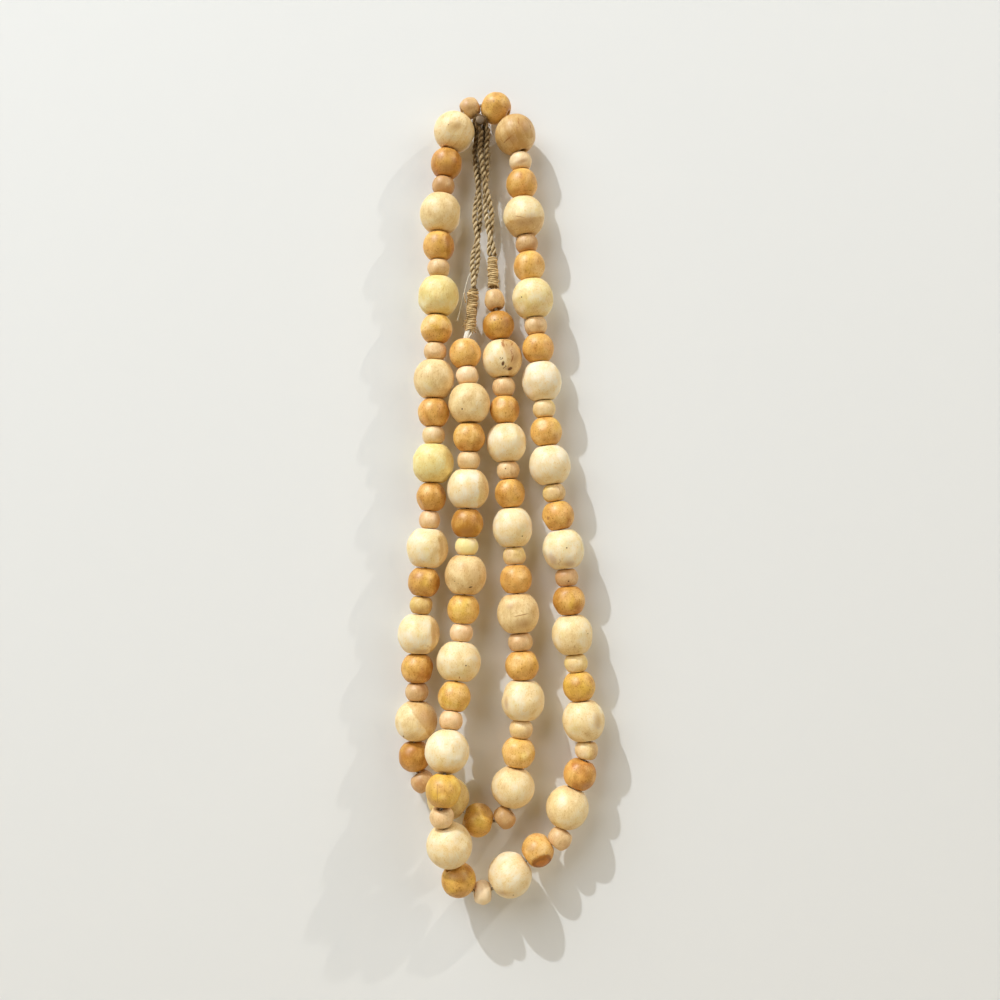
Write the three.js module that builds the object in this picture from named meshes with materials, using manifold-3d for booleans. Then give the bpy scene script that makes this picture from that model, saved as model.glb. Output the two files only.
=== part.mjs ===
// A garland of turned wooden beads, strung medium, small, large over and over, with a twisted jute
// hanging loop bound on at each end. It hangs from one wall nail: both loops go over the nail, and the
// middle of the strand lies over the loops, so that four runs of beads hang below it.
//
// Millimetres, +Z up. The wall's face is the plane Y = 0 and the garland hangs in front of it, at
// negative Y. The origin is where the nail's axis meets the wall. In the tables "across" is to the
// right, "out" is away from the wall and "up" is above the nail.
import * as THREE from "three";
import { mergeVertices } from "three/addons/utils/BufferGeometryUtils.js";
import Module from "manifold-3d";

// ---- Driving dimensions ----

// A bead is a ball cut flat at both ends of its bore. Height is along the bore.
const BEAD_KINDS = {
  large: { diameter: 20.2, height: 18.9, sides: 10, bands: 3 },
  medium: { diameter: 15.5, height: 13.8, sides: 8, bands: 3 },
  small: { diameter: 11.2, height: 8.4, sides: 8, bands: 2 },
};
const REPEAT = ["medium", "small", "large"];

// Beads that were turned clearly larger or smaller than their kind, by number along the strand.
const ODD_SIZES = { 15: 1.03, 16: 1.06, 18: 1.05, 19: 1.04, 21: 1.03, 90: 0.96, 91: 0.93, 93: 0.96, 95: 0.94 };

// The last bead has flopped over on its slack cord, so its bore runs sideways.
const FLOPPED = { 95: { across: 1.0, out: 0.1, up: 0.25 } };

// The white cord, the gap from one repeat to the next, and the gap between the beads of one repeat.
const CORD_RADIUS = 1.2;
const CORD_SIDES = 6;
const SEAT_GAP = 0.45;
const BEAD_GAP = 0.1;

const NAIL = {
  shankRadius: 1.0,
  headRadius: 2.2,
  headThickness: 1.1,
  headCrown: 0.3,
  length: 14.2,
  sides: 16,
};

const JUTE_RADIUS = 1.15;
const JUTE_SIDES = 8;

const WHIPPING_SIDES = 12;

// The strand's line, as the centres of numbered beads counted from the left whipping. The beads
// between two rows share the stretch by their heights.
const LEFT_INNER_RUN = [
  { bead: 1, across: -7.2, out: 11.4, up: -118.2 },
  { bead: 3, across: -5.1, out: 13.3, up: -143.4 },
  { bead: 6, across: -5.7, out: 12.4, up: -185.5 },
  { bead: 9, across: -6.8, out: 11.6, up: -227.6 },
  { bead: 12, across: -10.0, out: 13.2, up: -269.5 },
  { bead: 15, across: -15.0, out: 22.4, up: -310.6 },
];
const OUTER_TURN = [
  { bead: 16, across: -16.3, out: 28.6, up: -327.6 },
  { bead: 17, across: -17.2, out: 26.4, up: -340.2 },
  { bead: 18, across: -13.8, out: 21.8, up: -354.4 },
  { bead: 19, across: -9.6, out: 17.0, up: -371.7 },
  { bead: 20, across: 1.7, out: 14.6, up: -378.4 },
  { bead: 21, across: 14.7, out: 13.5, up: -370.6 },
  { bead: 22, across: 27.9, out: 12.0, up: -359.6 },
  { bead: 23, across: 38.9, out: 11.0, up: -354.0 },
];
const RIGHT_OUTER_RUN = [
  { bead: 24, across: 42.6, out: 10.5, up: -339.6 },
  { bead: 26, across: 52.0, out: 10.5, up: -312.2 },
  { bead: 27, across: 50.6, out: 10.5, up: -298.1 },
  { bead: 30, across: 45.4, out: 10.5, up: -256.7 },
  { bead: 33, across: 41.2, out: 10.5, up: -215.1 },
  { bead: 36, across: 34.6, out: 10.5, up: -173.6 },
  { bead: 39, across: 30.7, out: 10.5, up: -131.9 },
  { bead: 42, across: 26.4, out: 10.5, up: -90.3 },
  { bead: 45, across: 22.0, out: 10.5, up: -48.7 },
  { bead: 48, across: 17.9, out: 10.4, up: -6.7 },
];
const TOP_TURN = [
  { bead: 49, across: 8.2, out: 8.8, up: 8.0 },
  { bead: 50, across: -5.4, out: 8.8, up: 8.0 },
];
const LEFT_OUTER_RUN = [
  { bead: 51, across: -13.0, out: 10.4, up: -4.9 },
  { bead: 54, across: -19.8, out: 10.5, up: -46.9 },
  { bead: 57, across: -20.8, out: 10.5, up: -88.9 },
  { bead: 60, across: -22.7, out: 10.3, up: -130.8 },
  { bead: 63, across: -23.0, out: 10.3, up: -172.7 },
  { bead: 66, across: -25.6, out: 10.5, up: -214.5 },
  { bead: 69, across: -29.6, out: 10.5, up: -256.3 },
  { bead: 72, across: -30.6, out: 10.4, up: -298.2 },
];
const INNER_TURN = [
  { bead: 73, across: -31.4, out: 9.4, up: -315.3 },
  { bead: 74, across: -27.5, out: 9.2, up: -327.4 },
  { bead: 75, across: -15.0, out: 10.4, up: -335.2 },
  { bead: 76, across: -0.6, out: 10.2, up: -345.6 },
  { bead: 77, across: 12.3, out: 10.2, up: -344.3 },
];
const RIGHT_INNER_RUN = [
  { bead: 78, across: 16.3, out: 10.5, up: -329.9 },
  { bead: 81, across: 21.2, out: 10.5, up: -288.3 },
  { bead: 84, across: 18.9, out: 10.5, up: -246.3 },
  { bead: 87, across: 16.2, out: 10.5, up: -204.4 },
  { bead: 90, across: 13.2, out: 10.3, up: -162.5 },
  { bead: 93, across: 11.2, out: 10.4, up: -120.6 },
  { bead: 94, across: 9.3, out: 10.4, up: -103.9 },
  { bead: 95, across: 7.4, out: 10.4, up: -91.4 },
];

// Each whipping binds the strand's cord to the foot of its loop. Its radii run from the bottom up.
const WHIPPINGS = {
  left: {
    top: { across: -3.3, out: 9.4, up: -84.8 },
    bottom: { across: -4.8, out: 9.8, up: -106.5 },
    radii: [2.6, 2.7, 2.8, 2.5],
  },
  right: {
    top: { across: 6.2, out: 10.9, up: -69.0 },
    bottom: { across: 6.8, out: 10.5, up: -85.0 },
    radii: [2.4, 2.6, 2.6, 2.4],
  },
};

// Both loops from the nail down. The two legs lie half a "spread" to either side of the middle line and
// wind about it: "turn" is 180 where the first leg is on the left and 90 where it is in front.
const LOOP_SECTIONS = {
  left: [
    { up: 0.0, across: 0.0, out: 8.8, spread: 5.0, turn: 180 },
    { up: -5.0, across: 0.8, out: 8.8, spread: 4.0, turn: 180 },
    { up: -14.5, across: -1.0, out: 8.8, spread: 3.0, turn: 170 },
    { up: -24.7, across: -1.0, out: 8.9, spread: 2.7, turn: 135 },
    { up: -33.8, across: -0.8, out: 8.9, spread: 2.7, turn: 90 },
    { up: -47.2, across: -1.3, out: 9.0, spread: 2.7, turn: 0 },
    { up: -59.4, across: -1.3, out: 9.1, spread: 2.7, turn: -90 },
    { up: -70.1, across: -2.4, out: 9.2, spread: 2.7, turn: -180 },
    { up: -80.3, across: -3.0, out: 9.3, spread: 2.7, turn: -260 },
  ],
  right: [
    { up: 0.0, across: 0.0, out: 11.6, spread: 5.0, turn: 180 },
    { up: -5.0, across: 0.8, out: 11.6, spread: 4.0, turn: 180 },
    { up: -14.5, across: 1.7, out: 11.7, spread: 3.0, turn: 170 },
    { up: -24.7, across: 2.4, out: 11.7, spread: 2.7, turn: 135 },
    { up: -33.8, across: 2.8, out: 11.6, spread: 2.7, turn: 90 },
    { up: -47.2, across: 4.5, out: 11.3, spread: 2.7, turn: 0 },
    { up: -59.4, across: 5.1, out: 11.1, spread: 2.7, turn: -90 },
    { up: -65.8, across: 5.8, out: 11.0, spread: 2.7, turn: -150 },
  ],
};

// How finely the strand's line is walked, and how many points a leg has for each row of its table and
// each loop has over the nail.
const STRETCH_STEPS = 40;
const POINTS_PER_SECTION = 2;
const POINTS_OVER_NAIL = 7;

const MATERIALS = {
  wood: new THREE.MeshStandardMaterial({ color: 0xe6c592, roughness: 0.6, metalness: 0 }),
  jute: new THREE.MeshStandardMaterial({ color: 0xb79a66, roughness: 0.95, metalness: 0 }),
  steel: new THREE.MeshStandardMaterial({ color: 0x9a9590, roughness: 0.45, metalness: 0.8 }),
};

// ---- Solids ----

const wasm = await Module();
wasm.setup();

function toWorld({ across, out, up }) {
  return new THREE.Vector3(across, -out, up);
}

function toSolid(geometry) {
  geometry.deleteAttribute("normal");
  geometry.deleteAttribute("uv");
  const welded = mergeVertices(geometry, 1e-4);
  const corners = welded.index.array;
  const triangles = [];
  for (let i = 0; i < corners.length; i += 3) {
    const [a, b, c] = corners.slice(i, i + 3);
    if (a !== b && b !== c && c !== a) {
      triangles.push(a, b, c);
    }
  }
  const mesh = new wasm.Mesh({
    numProp: 3,
    vertProperties: welded.attributes.position.array,
    triVerts: new Uint32Array(triangles),
  });
  return new wasm.Manifold(mesh);
}

function toGeometry(solid) {
  const mesh = solid.getMesh();
  const geometry = new THREE.BufferGeometry();
  geometry.setAttribute("position", new THREE.BufferAttribute(mesh.vertProperties, 3));
  geometry.setIndex(new THREE.BufferAttribute(mesh.triVerts, 1));
  geometry.computeVertexNormals();
  return geometry;
}

// Turns a shape made along +Y so that it points along "axis", and moves it to "centre".
function aim(geometry, centre, axis) {
  const turn = new THREE.Quaternion().setFromUnitVectors(new THREE.Vector3(0, 1, 0), axis);
  geometry.applyQuaternion(turn);
  geometry.translate(centre.x, centre.y, centre.z);
  return geometry;
}

// ---- Beads and their cord ----

function describeBead(number) {
  const kind = BEAD_KINDS[REPEAT[(number - 1) % REPEAT.length]];
  const size = ODD_SIZES[number] ?? 1;
  return {
    radius: (kind.diameter / 2) * size,
    halfHeight: (kind.height / 2) * size,
    sides: kind.sides,
    bands: kind.bands,
  };
}

function beadGeometry({ radius, halfHeight, sides, bands }) {
  const flatEdge = Math.asin(halfHeight / radius);
  const profile = [new THREE.Vector2(0, -halfHeight)];
  for (let band = 0; band <= bands; band += 1) {
    const latitude = flatEdge * ((2 * band) / bands - 1);
    profile.push(new THREE.Vector2(radius * Math.cos(latitude), radius * Math.sin(latitude)));
  }
  profile.push(new THREE.Vector2(0, halfHeight));
  return new THREE.LatheGeometry(profile, sides);
}

function cordGeometry(from, to) {
  const along = new THREE.Vector3().subVectors(to, from);
  const geometry = new THREE.CylinderGeometry(CORD_RADIUS, CORD_RADIUS, along.length(), CORD_SIDES);
  const middle = new THREE.Vector3().addVectors(from, to).multiplyScalar(0.5);
  return aim(geometry, middle, along.normalize());
}

// The curve's parameter after each small step of one stretch, with the length reached there.
function walkStretch(curve, start, end) {
  const marks = [{ t: start, length: 0 }];
  let last = curve.getPoint(start);
  for (let i = 1; i <= STRETCH_STEPS; i += 1) {
    const t = THREE.MathUtils.lerp(start, end, i / STRETCH_STEPS);
    const point = curve.getPoint(t);
    marks.push({ t, length: marks[i - 1].length + point.distanceTo(last) });
    last = point;
  }
  return marks;
}

function parameterAt(marks, length) {
  const next = Math.max(1, marks.findIndex((mark) => mark.length >= length));
  const [before, after] = [marks[next - 1], marks[next]];
  const share = (length - before.length) / (after.length - before.length);
  return THREE.MathUtils.lerp(before.t, after.t, share);
}

function placeBeads(rows) {
  const curve = new THREE.CatmullRomCurve3(rows.map(toWorld), false, "centripetal");
  const placed = [];
  const place = (number, t) => {
    const axis = number in FLOPPED ? toWorld(FLOPPED[number]).normalize() : curve.getTangent(t);
    placed.push({ ...describeBead(number), centre: curve.getPoint(t), axis });
  };
  for (let row = 0; row < rows.length - 1; row += 1) {
    const marks = walkStretch(curve, row / (rows.length - 1), (row + 1) / (rows.length - 1));
    const spacings = [];
    for (let number = rows[row].bead; number < rows[row + 1].bead; number += 1) {
      const gap = number % REPEAT.length === 0 ? SEAT_GAP : BEAD_GAP;
      spacings.push(describeBead(number).halfHeight + gap + describeBead(number + 1).halfHeight);
    }
    const scale = marks.at(-1).length / spacings.reduce((sum, spacing) => sum + spacing, 0);
    let reached = 0;
    spacings.forEach((spacing, i) => {
      place(rows[row].bead + i, parameterAt(marks, reached * scale));
      reached += spacing;
    });
  }
  place(rows.at(-1).bead, 1);
  return placed;
}

// One repeat of beads, joined on its own stretch of cord.
function repeatGeometry(beads, cordEnds) {
  let solid = null;
  const add = (geometry) => {
    const piece = toSolid(geometry);
    solid = solid ? solid.add(piece) : piece;
  };
  beads.forEach((bead) => add(aim(beadGeometry(bead), bead.centre, bead.axis)));
  const line = [...cordEnds.before, ...beads.map(({ centre }) => centre), ...cordEnds.after];
  for (let i = 1; i < line.length; i += 1) {
    add(cordGeometry(line[i - 1], line[i]));
  }
  return toGeometry(solid);
}

// ---- Loops, whippings and nail ----

// A path whose cross-sections fall on its own points, so that they crowd where it bends.
class PointedPath extends THREE.CatmullRomCurve3 {
  getUtoTmapping(u) {
    return u;
  }
}

function legPoint(section, side) {
  const angle = THREE.MathUtils.degToRad(section.turn);
  return toWorld({
    across: section.across + (side * section.spread * Math.cos(angle)) / 2,
    out: section.out + (side * section.spread * Math.sin(angle)) / 2,
    up: section.up,
  });
}

function mixSections(upper, lower, share) {
  const mixed = {};
  Object.keys(upper).forEach((column) => {
    mixed[column] = THREE.MathUtils.lerp(upper[column], lower[column], share);
  });
  return mixed;
}

// One leg from the nail down to its whipping.
function legPoints(sections, foot, side) {
  const points = [];
  for (let i = 0; i < sections.length - 1; i += 1) {
    for (let j = 0; j < POINTS_PER_SECTION; j += 1) {
      points.push(legPoint(mixSections(sections[i], sections[i + 1], j / POINTS_PER_SECTION), side));
    }
  }
  points.push(legPoint(sections.at(-1), side));
  points.push(legPoint({ ...sections.at(-1), ...foot }, side));
  return points;
}

function loopGeometry(sections, whipping) {
  const foot = { ...whipping.top, up: whipping.top.up + SEAT_GAP };
  const overNail = [];
  for (let i = 1; i < POINTS_OVER_NAIL - 1; i += 1) {
    const angle = Math.PI * (1 - i / (POINTS_OVER_NAIL - 1));
    const radius = sections[0].spread / 2;
    const { out } = sections[0];
    overNail.push(toWorld({ across: radius * Math.cos(angle), out, up: radius * Math.sin(angle) }));
  }
  const points = [
    ...legPoints(sections, foot, 1).reverse(),
    ...overNail,
    ...legPoints(sections, foot, -1),
  ];
  const outline = [];
  for (let i = 0; i < JUTE_SIDES; i += 1) {
    const angle = (2 * Math.PI * i) / JUTE_SIDES;
    outline.push(new THREE.Vector2(JUTE_RADIUS * Math.cos(angle), JUTE_RADIUS * Math.sin(angle)));
  }
  return new THREE.ExtrudeGeometry(new THREE.Shape(outline), {
    steps: points.length - 1,
    bevelEnabled: false,
    extrudePath: new PointedPath(points, false, "centripetal"),
  });
}

function whippingGeometry({ top, bottom, radii }) {
  const along = new THREE.Vector3().subVectors(toWorld(top), toWorld(bottom));
  const length = along.length();
  const profile = [new THREE.Vector2(0, 0)];
  radii.forEach((radius, i) => {
    profile.push(new THREE.Vector2(radius, (length * i) / (radii.length - 1)));
  });
  profile.push(new THREE.Vector2(0, length));
  const geometry = new THREE.LatheGeometry(profile, WHIPPING_SIDES);
  return aim(geometry, toWorld(bottom), along.normalize());
}

function nailGeometry() {
  const { shankRadius, headRadius, headThickness, headCrown, length, sides } = NAIL;
  const profile = [
    [0, 0],
    [shankRadius, 0],
    [shankRadius, length - headThickness],
    [headRadius, length - headThickness],
    [headRadius, length - headCrown],
    [0, length],
  ].map(([radius, out]) => new THREE.Vector2(radius, out));
  return aim(new THREE.LatheGeometry(profile, sides), new THREE.Vector3(), new THREE.Vector3(0, -1, 0));
}

// ---- Assembly ----

const garland = new THREE.Group();

function addPiece(name, geometry, material) {
  const mesh = new THREE.Mesh(geometry, material);
  mesh.name = name;
  garland.add(mesh);
}

const beads = placeBeads([
  ...LEFT_INNER_RUN,
  ...OUTER_TURN,
  ...RIGHT_OUTER_RUN,
  ...TOP_TURN,
  ...LEFT_OUTER_RUN,
  ...INNER_TURN,
  ...RIGHT_INNER_RUN,
]);

// A point on the cord, just clear of the whipping that it goes up into.
function cordEnd({ top, bottom }) {
  const down = new THREE.Vector3().subVectors(toWorld(bottom), toWorld(top)).normalize();
  return toWorld(bottom).addScaledVector(down, SEAT_GAP);
}

for (let first = 0; first < beads.length; first += REPEAT.length) {
  const group = beads.slice(first, first + REPEAT.length);
  const cordEnds = {
    before: first === 0 ? [cordEnd(WHIPPINGS.left)] : [],
    after: first + group.length === beads.length ? [cordEnd(WHIPPINGS.right)] : [],
  };
  const number = String(first / REPEAT.length + 1).padStart(2, "0");
  addPiece(`bead_repeat_${number}`, repeatGeometry(group, cordEnds), MATERIALS.wood);
}

Object.entries(WHIPPINGS).forEach(([side, whipping]) => {
  addPiece(`${side}_whipping`, whippingGeometry(whipping), MATERIALS.jute);
  addPiece(`${side}_hanging_loop`, loopGeometry(LOOP_SECTIONS[side], whipping), MATERIALS.jute);
});

addPiece("wall_nail", nailGeometry(), MATERIALS.steel);

export default garland;
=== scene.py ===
"""A garland of turned wooden beads that hangs in four runs from one wall nail by its two jute loops.

Sizes are in millimetres until a piece is placed. Places are in the model's own frame: +X to the right,
-Y out from the wall, +Z up, with the origin where the nail's axis meets the wall.
"""

import logging
import math
import random
from dataclasses import astuple, dataclass, field
from enum import Enum
from typing import Any, Iterable, Sequence

import bpy
import numpy as np
from mathutils import Matrix, Vector, noise


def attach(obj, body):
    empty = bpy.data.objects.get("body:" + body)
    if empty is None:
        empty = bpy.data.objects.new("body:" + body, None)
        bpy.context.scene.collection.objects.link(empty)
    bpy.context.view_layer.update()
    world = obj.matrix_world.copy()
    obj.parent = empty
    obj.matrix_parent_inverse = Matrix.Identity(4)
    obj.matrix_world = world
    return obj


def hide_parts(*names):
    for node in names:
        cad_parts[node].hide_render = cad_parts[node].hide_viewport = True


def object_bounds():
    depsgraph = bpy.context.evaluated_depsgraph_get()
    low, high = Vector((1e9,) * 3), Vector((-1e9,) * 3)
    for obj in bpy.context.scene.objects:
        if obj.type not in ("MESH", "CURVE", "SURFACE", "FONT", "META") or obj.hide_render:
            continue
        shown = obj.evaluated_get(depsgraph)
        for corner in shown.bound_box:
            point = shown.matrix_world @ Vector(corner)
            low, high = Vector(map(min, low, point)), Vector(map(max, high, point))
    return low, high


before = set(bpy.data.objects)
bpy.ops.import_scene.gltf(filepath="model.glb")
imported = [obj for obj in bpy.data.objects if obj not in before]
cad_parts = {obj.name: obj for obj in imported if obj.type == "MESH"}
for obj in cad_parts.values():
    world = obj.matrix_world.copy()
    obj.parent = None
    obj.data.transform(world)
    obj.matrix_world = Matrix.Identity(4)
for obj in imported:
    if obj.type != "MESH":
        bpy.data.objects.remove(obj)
CAD_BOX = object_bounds()

LOG = logging.getLogger("garland")
MM = 0.001
ROOT = "root"
TURN = 2.0 * math.pi
# How far from its own middle a thread's pattern is read.
PATTERN_MM = 0.7

Colour = tuple[float, float, float]


# ---- Node trees ----


class Shade:
    """One socket of a node tree. Arithmetic on it adds Math nodes."""

    def __init__(self, kit: "NodeKit", socket: bpy.types.NodeSocket) -> None:
        """Wraps a socket.

        Args:
            kit: The tree that the socket is part of.
            socket: The output socket.
        """
        self.kit = kit
        self.socket = socket

    def math(self, operation: str, *others: Any, clamp: bool = False) -> "Shade":
        """Adds one Math node with this value first.

        Args:
            operation: The Math node's operation.
            others: The values or shades that follow.
            clamp: Whether the result stays from 0 to 1.

        Returns:
            The node's result.
        """
        values = dict(enumerate((self, *others)))
        return self.kit.node("ShaderNodeMath", {"operation": operation, "use_clamp": clamp}, values)

    def _after(self, operation: str, first: Any) -> "Shade":
        """Adds one Math node with this value second."""
        return self.kit.node("ShaderNodeMath", {"operation": operation}, {0: first, 1: self})

    def __add__(self, other: Any) -> "Shade":
        """Adds a value to this one."""
        return self.math("ADD", other)

    def __radd__(self, other: Any) -> "Shade":
        """Adds this value to another."""
        return self._after("ADD", other)

    def __sub__(self, other: Any) -> "Shade":
        """Takes a value from this one."""
        return self.math("SUBTRACT", other)

    def __rsub__(self, other: Any) -> "Shade":
        """Takes this value from another."""
        return self._after("SUBTRACT", other)

    def __mul__(self, other: Any) -> "Shade":
        """Multiplies this value by another."""
        return self.math("MULTIPLY", other)

    def __rmul__(self, other: Any) -> "Shade":
        """Multiplies another value by this one."""
        return self._after("MULTIPLY", other)

    def __truediv__(self, other: Any) -> "Shade":
        """Divides this value by another."""
        return self.math("DIVIDE", other)

    def __rtruediv__(self, other: Any) -> "Shade":
        """Divides another value by this one."""
        return self._after("DIVIDE", other)

    def __pow__(self, other: Any) -> "Shade":
        """Raises this value to a power."""
        return self.math("POWER", other)

    def __rpow__(self, other: Any) -> "Shade":
        """Raises another value to the power of this one."""
        return self._after("POWER", other)

    def clamped(self) -> "Shade":
        """Keeps the value from 0 to 1."""
        return self.math("ADD", 0.0, clamp=True)

    def fraction(self) -> "Shade":
        """The part after the decimal point."""
        return self.math("FRACT")

    def wave(self) -> "Shade":
        """The sine of the value."""
        return self.math("SINE")

    def step(self, low: float, high: float) -> "Shade":
        """A soft step.

        Args:
            low: Where the result is 0.
            high: Where the result is 1. It may be under low.

        Returns:
            A value from 0 to 1.
        """
        settings = {"interpolation_type": "SMOOTHSTEP"}
        sockets = {"Value": self, "From Min": low, "From Max": high}
        return self.kit.node("ShaderNodeMapRange", settings, sockets)


class NodeKit:
    """Adds the nodes of one tree."""

    def __init__(self, tree: bpy.types.NodeTree) -> None:
        """Empties the tree."""
        self.tree = tree
        self.tree.nodes.clear()

    def node(
        self,
        kind: str,
        settings: dict[str, Any] | None = None,
        sockets: dict[str | int, Any] | None = None,
        output: int = 0,
    ) -> Shade:
        """Adds a node.

        Args:
            kind: The node's type.
            settings: Its own settings, with a ramp's stops under "stops". They are set first.
            sockets: The value or the link of each input socket.
            output: Which output is wanted.

        Returns:
            That output.
        """
        made = self.tree.nodes.new(kind)
        for name, value in (settings or {}).items():
            if name == "stops":
                self._set_stops(made.color_ramp, value)
            else:
                setattr(made, name, value)
        for key, value in (sockets or {}).items():
            if isinstance(value, Shade):
                self.tree.links.new(value.socket, made.inputs[key])
            else:
                made.inputs[key].default_value = value
        return Shade(self, made.outputs[output])

    @staticmethod
    def _set_stops(ramp: bpy.types.ColorRamp, stops: Sequence[tuple[float, Colour]]) -> None:
        """Puts the stops on a colour ramp.

        Args:
            ramp: The ramp.
            stops: Each stop's place and colour, in order.
        """
        while len(ramp.elements) < len(stops):
            ramp.elements.new(1.0)
        for element, (position, colour) in zip(ramp.elements, stops):
            element.position = position
            element.color = (*colour, 1.0)

    def end(self, kind: str, shader: Shade) -> None:
        """Links the last shader to the tree's output, which is a node of the given type."""
        output = self.tree.nodes.new(kind)
        self.tree.links.new(shader.socket, output.inputs["Surface"])


class MaterialKit(NodeKit):
    """Adds the nodes of one material."""

    def __init__(self, name: str) -> None:
        """Starts an empty material.

        Args:
            name: The material's name.
        """
        self.material = bpy.data.materials.new(name)
        self.material.use_nodes = True
        super().__init__(self.material.node_tree)

    def attribute(self, name: str, output: int = 1) -> Shade:
        """Reads a mesh attribute: output 1 is its vector and output 2 its number."""
        return self.node("ShaderNodeAttribute", {"attribute_name": name}, output=output)

    def part(self, vector: Shade, index: int) -> Shade:
        """Reads one number of a vector."""
        return self.node("ShaderNodeSeparateXYZ", sockets={0: vector}, output=index)

    def vectors(self, operation: str, first: Any, second: Any = (0.0, 0.0, 0.0), output: int = 0) -> Shade:
        """Adds a Vector Math node.

        Args:
            operation: The node's operation.
            first: The first vector.
            second: The second vector.
            output: 0 for a vector and 1 for a number.

        Returns:
            The node's result.
        """
        return self.node("ShaderNodeVectorMath", {"operation": operation}, {0: first, 1: second}, output)

    def length(self, vector: Shade) -> Shade:
        """The length of a vector."""
        return self.vectors("LENGTH", vector, output=1)

    def stretched(self, vector: Shade, first: float, second: float, third: float) -> Shade:
        """Scales each of a vector's three numbers by its own share."""
        return self.vectors("MULTIPLY", vector, (first, second, third))

    def noise(self, where: Shade, scale: float, detail: float = 2.0, output: int = 0) -> Shade:
        """Adds a noise texture.

        Args:
            where: Where the noise is read.
            scale: How fine it is.
            detail: How many finer layers it has.
            output: 0 for a number and 1 for a vector.

        Returns:
            The noise, about 0.5.
        """
        sockets = {"Vector": where, "Scale": scale, "Detail": detail}
        return self.node("ShaderNodeTexNoise", sockets=sockets, output=output)

    def mix(self, first: Any, second: Any, share: Any, blend: str = "MIX") -> Shade:
        """Mixes two colours.

        Args:
            first: The colour at a share of 0.
            second: The colour at a share of 1.
            share: How much of the second there is.
            blend: The Mix node's blend type.

        Returns:
            The mixed colour.
        """
        pair = [(*c, 1.0) if isinstance(c, tuple) else c for c in (first, second)]
        settings = {"data_type": "RGBA", "blend_type": blend}
        return self.node("ShaderNodeMix", settings, {0: share, 6: pair[0], 7: pair[1]}, output=2)

    def surface(
        self,
        colour: Any,
        roughness: Any,
        height: Shade | None = None,
        bump_mm: float = 0.1,
        **fixed: Any,
    ) -> bpy.types.Material:
        """Ends the material in a Principled shader.

        Args:
            colour: The base colour.
            roughness: The roughness.
            height: The relief, from 0 to 1.
            bump_mm: How tall the relief is.
            fixed: Other sockets by name, with _ for a space, each the same all over.

        Returns:
            The material.
        """
        sockets = {"Base Color": colour, "Roughness": roughness}
        sockets.update({name.replace("_", " "): value for name, value in fixed.items()})
        if height is not None:
            relief = {"Height": height, "Distance": bump_mm * MM, "Strength": 1.0}
            sockets["Normal"] = self.node("ShaderNodeBump", sockets=relief)
        shader = self.node("ShaderNodeBsdfPrincipled", sockets=sockets)
        return self.close(shader)

    def close(self, shader: Shade) -> bpy.types.Material:
        """Links the last shader to the material's output."""
        self.end("ShaderNodeOutputMaterial", shader)
        return self.material


# ---- Finishes ----


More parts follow.
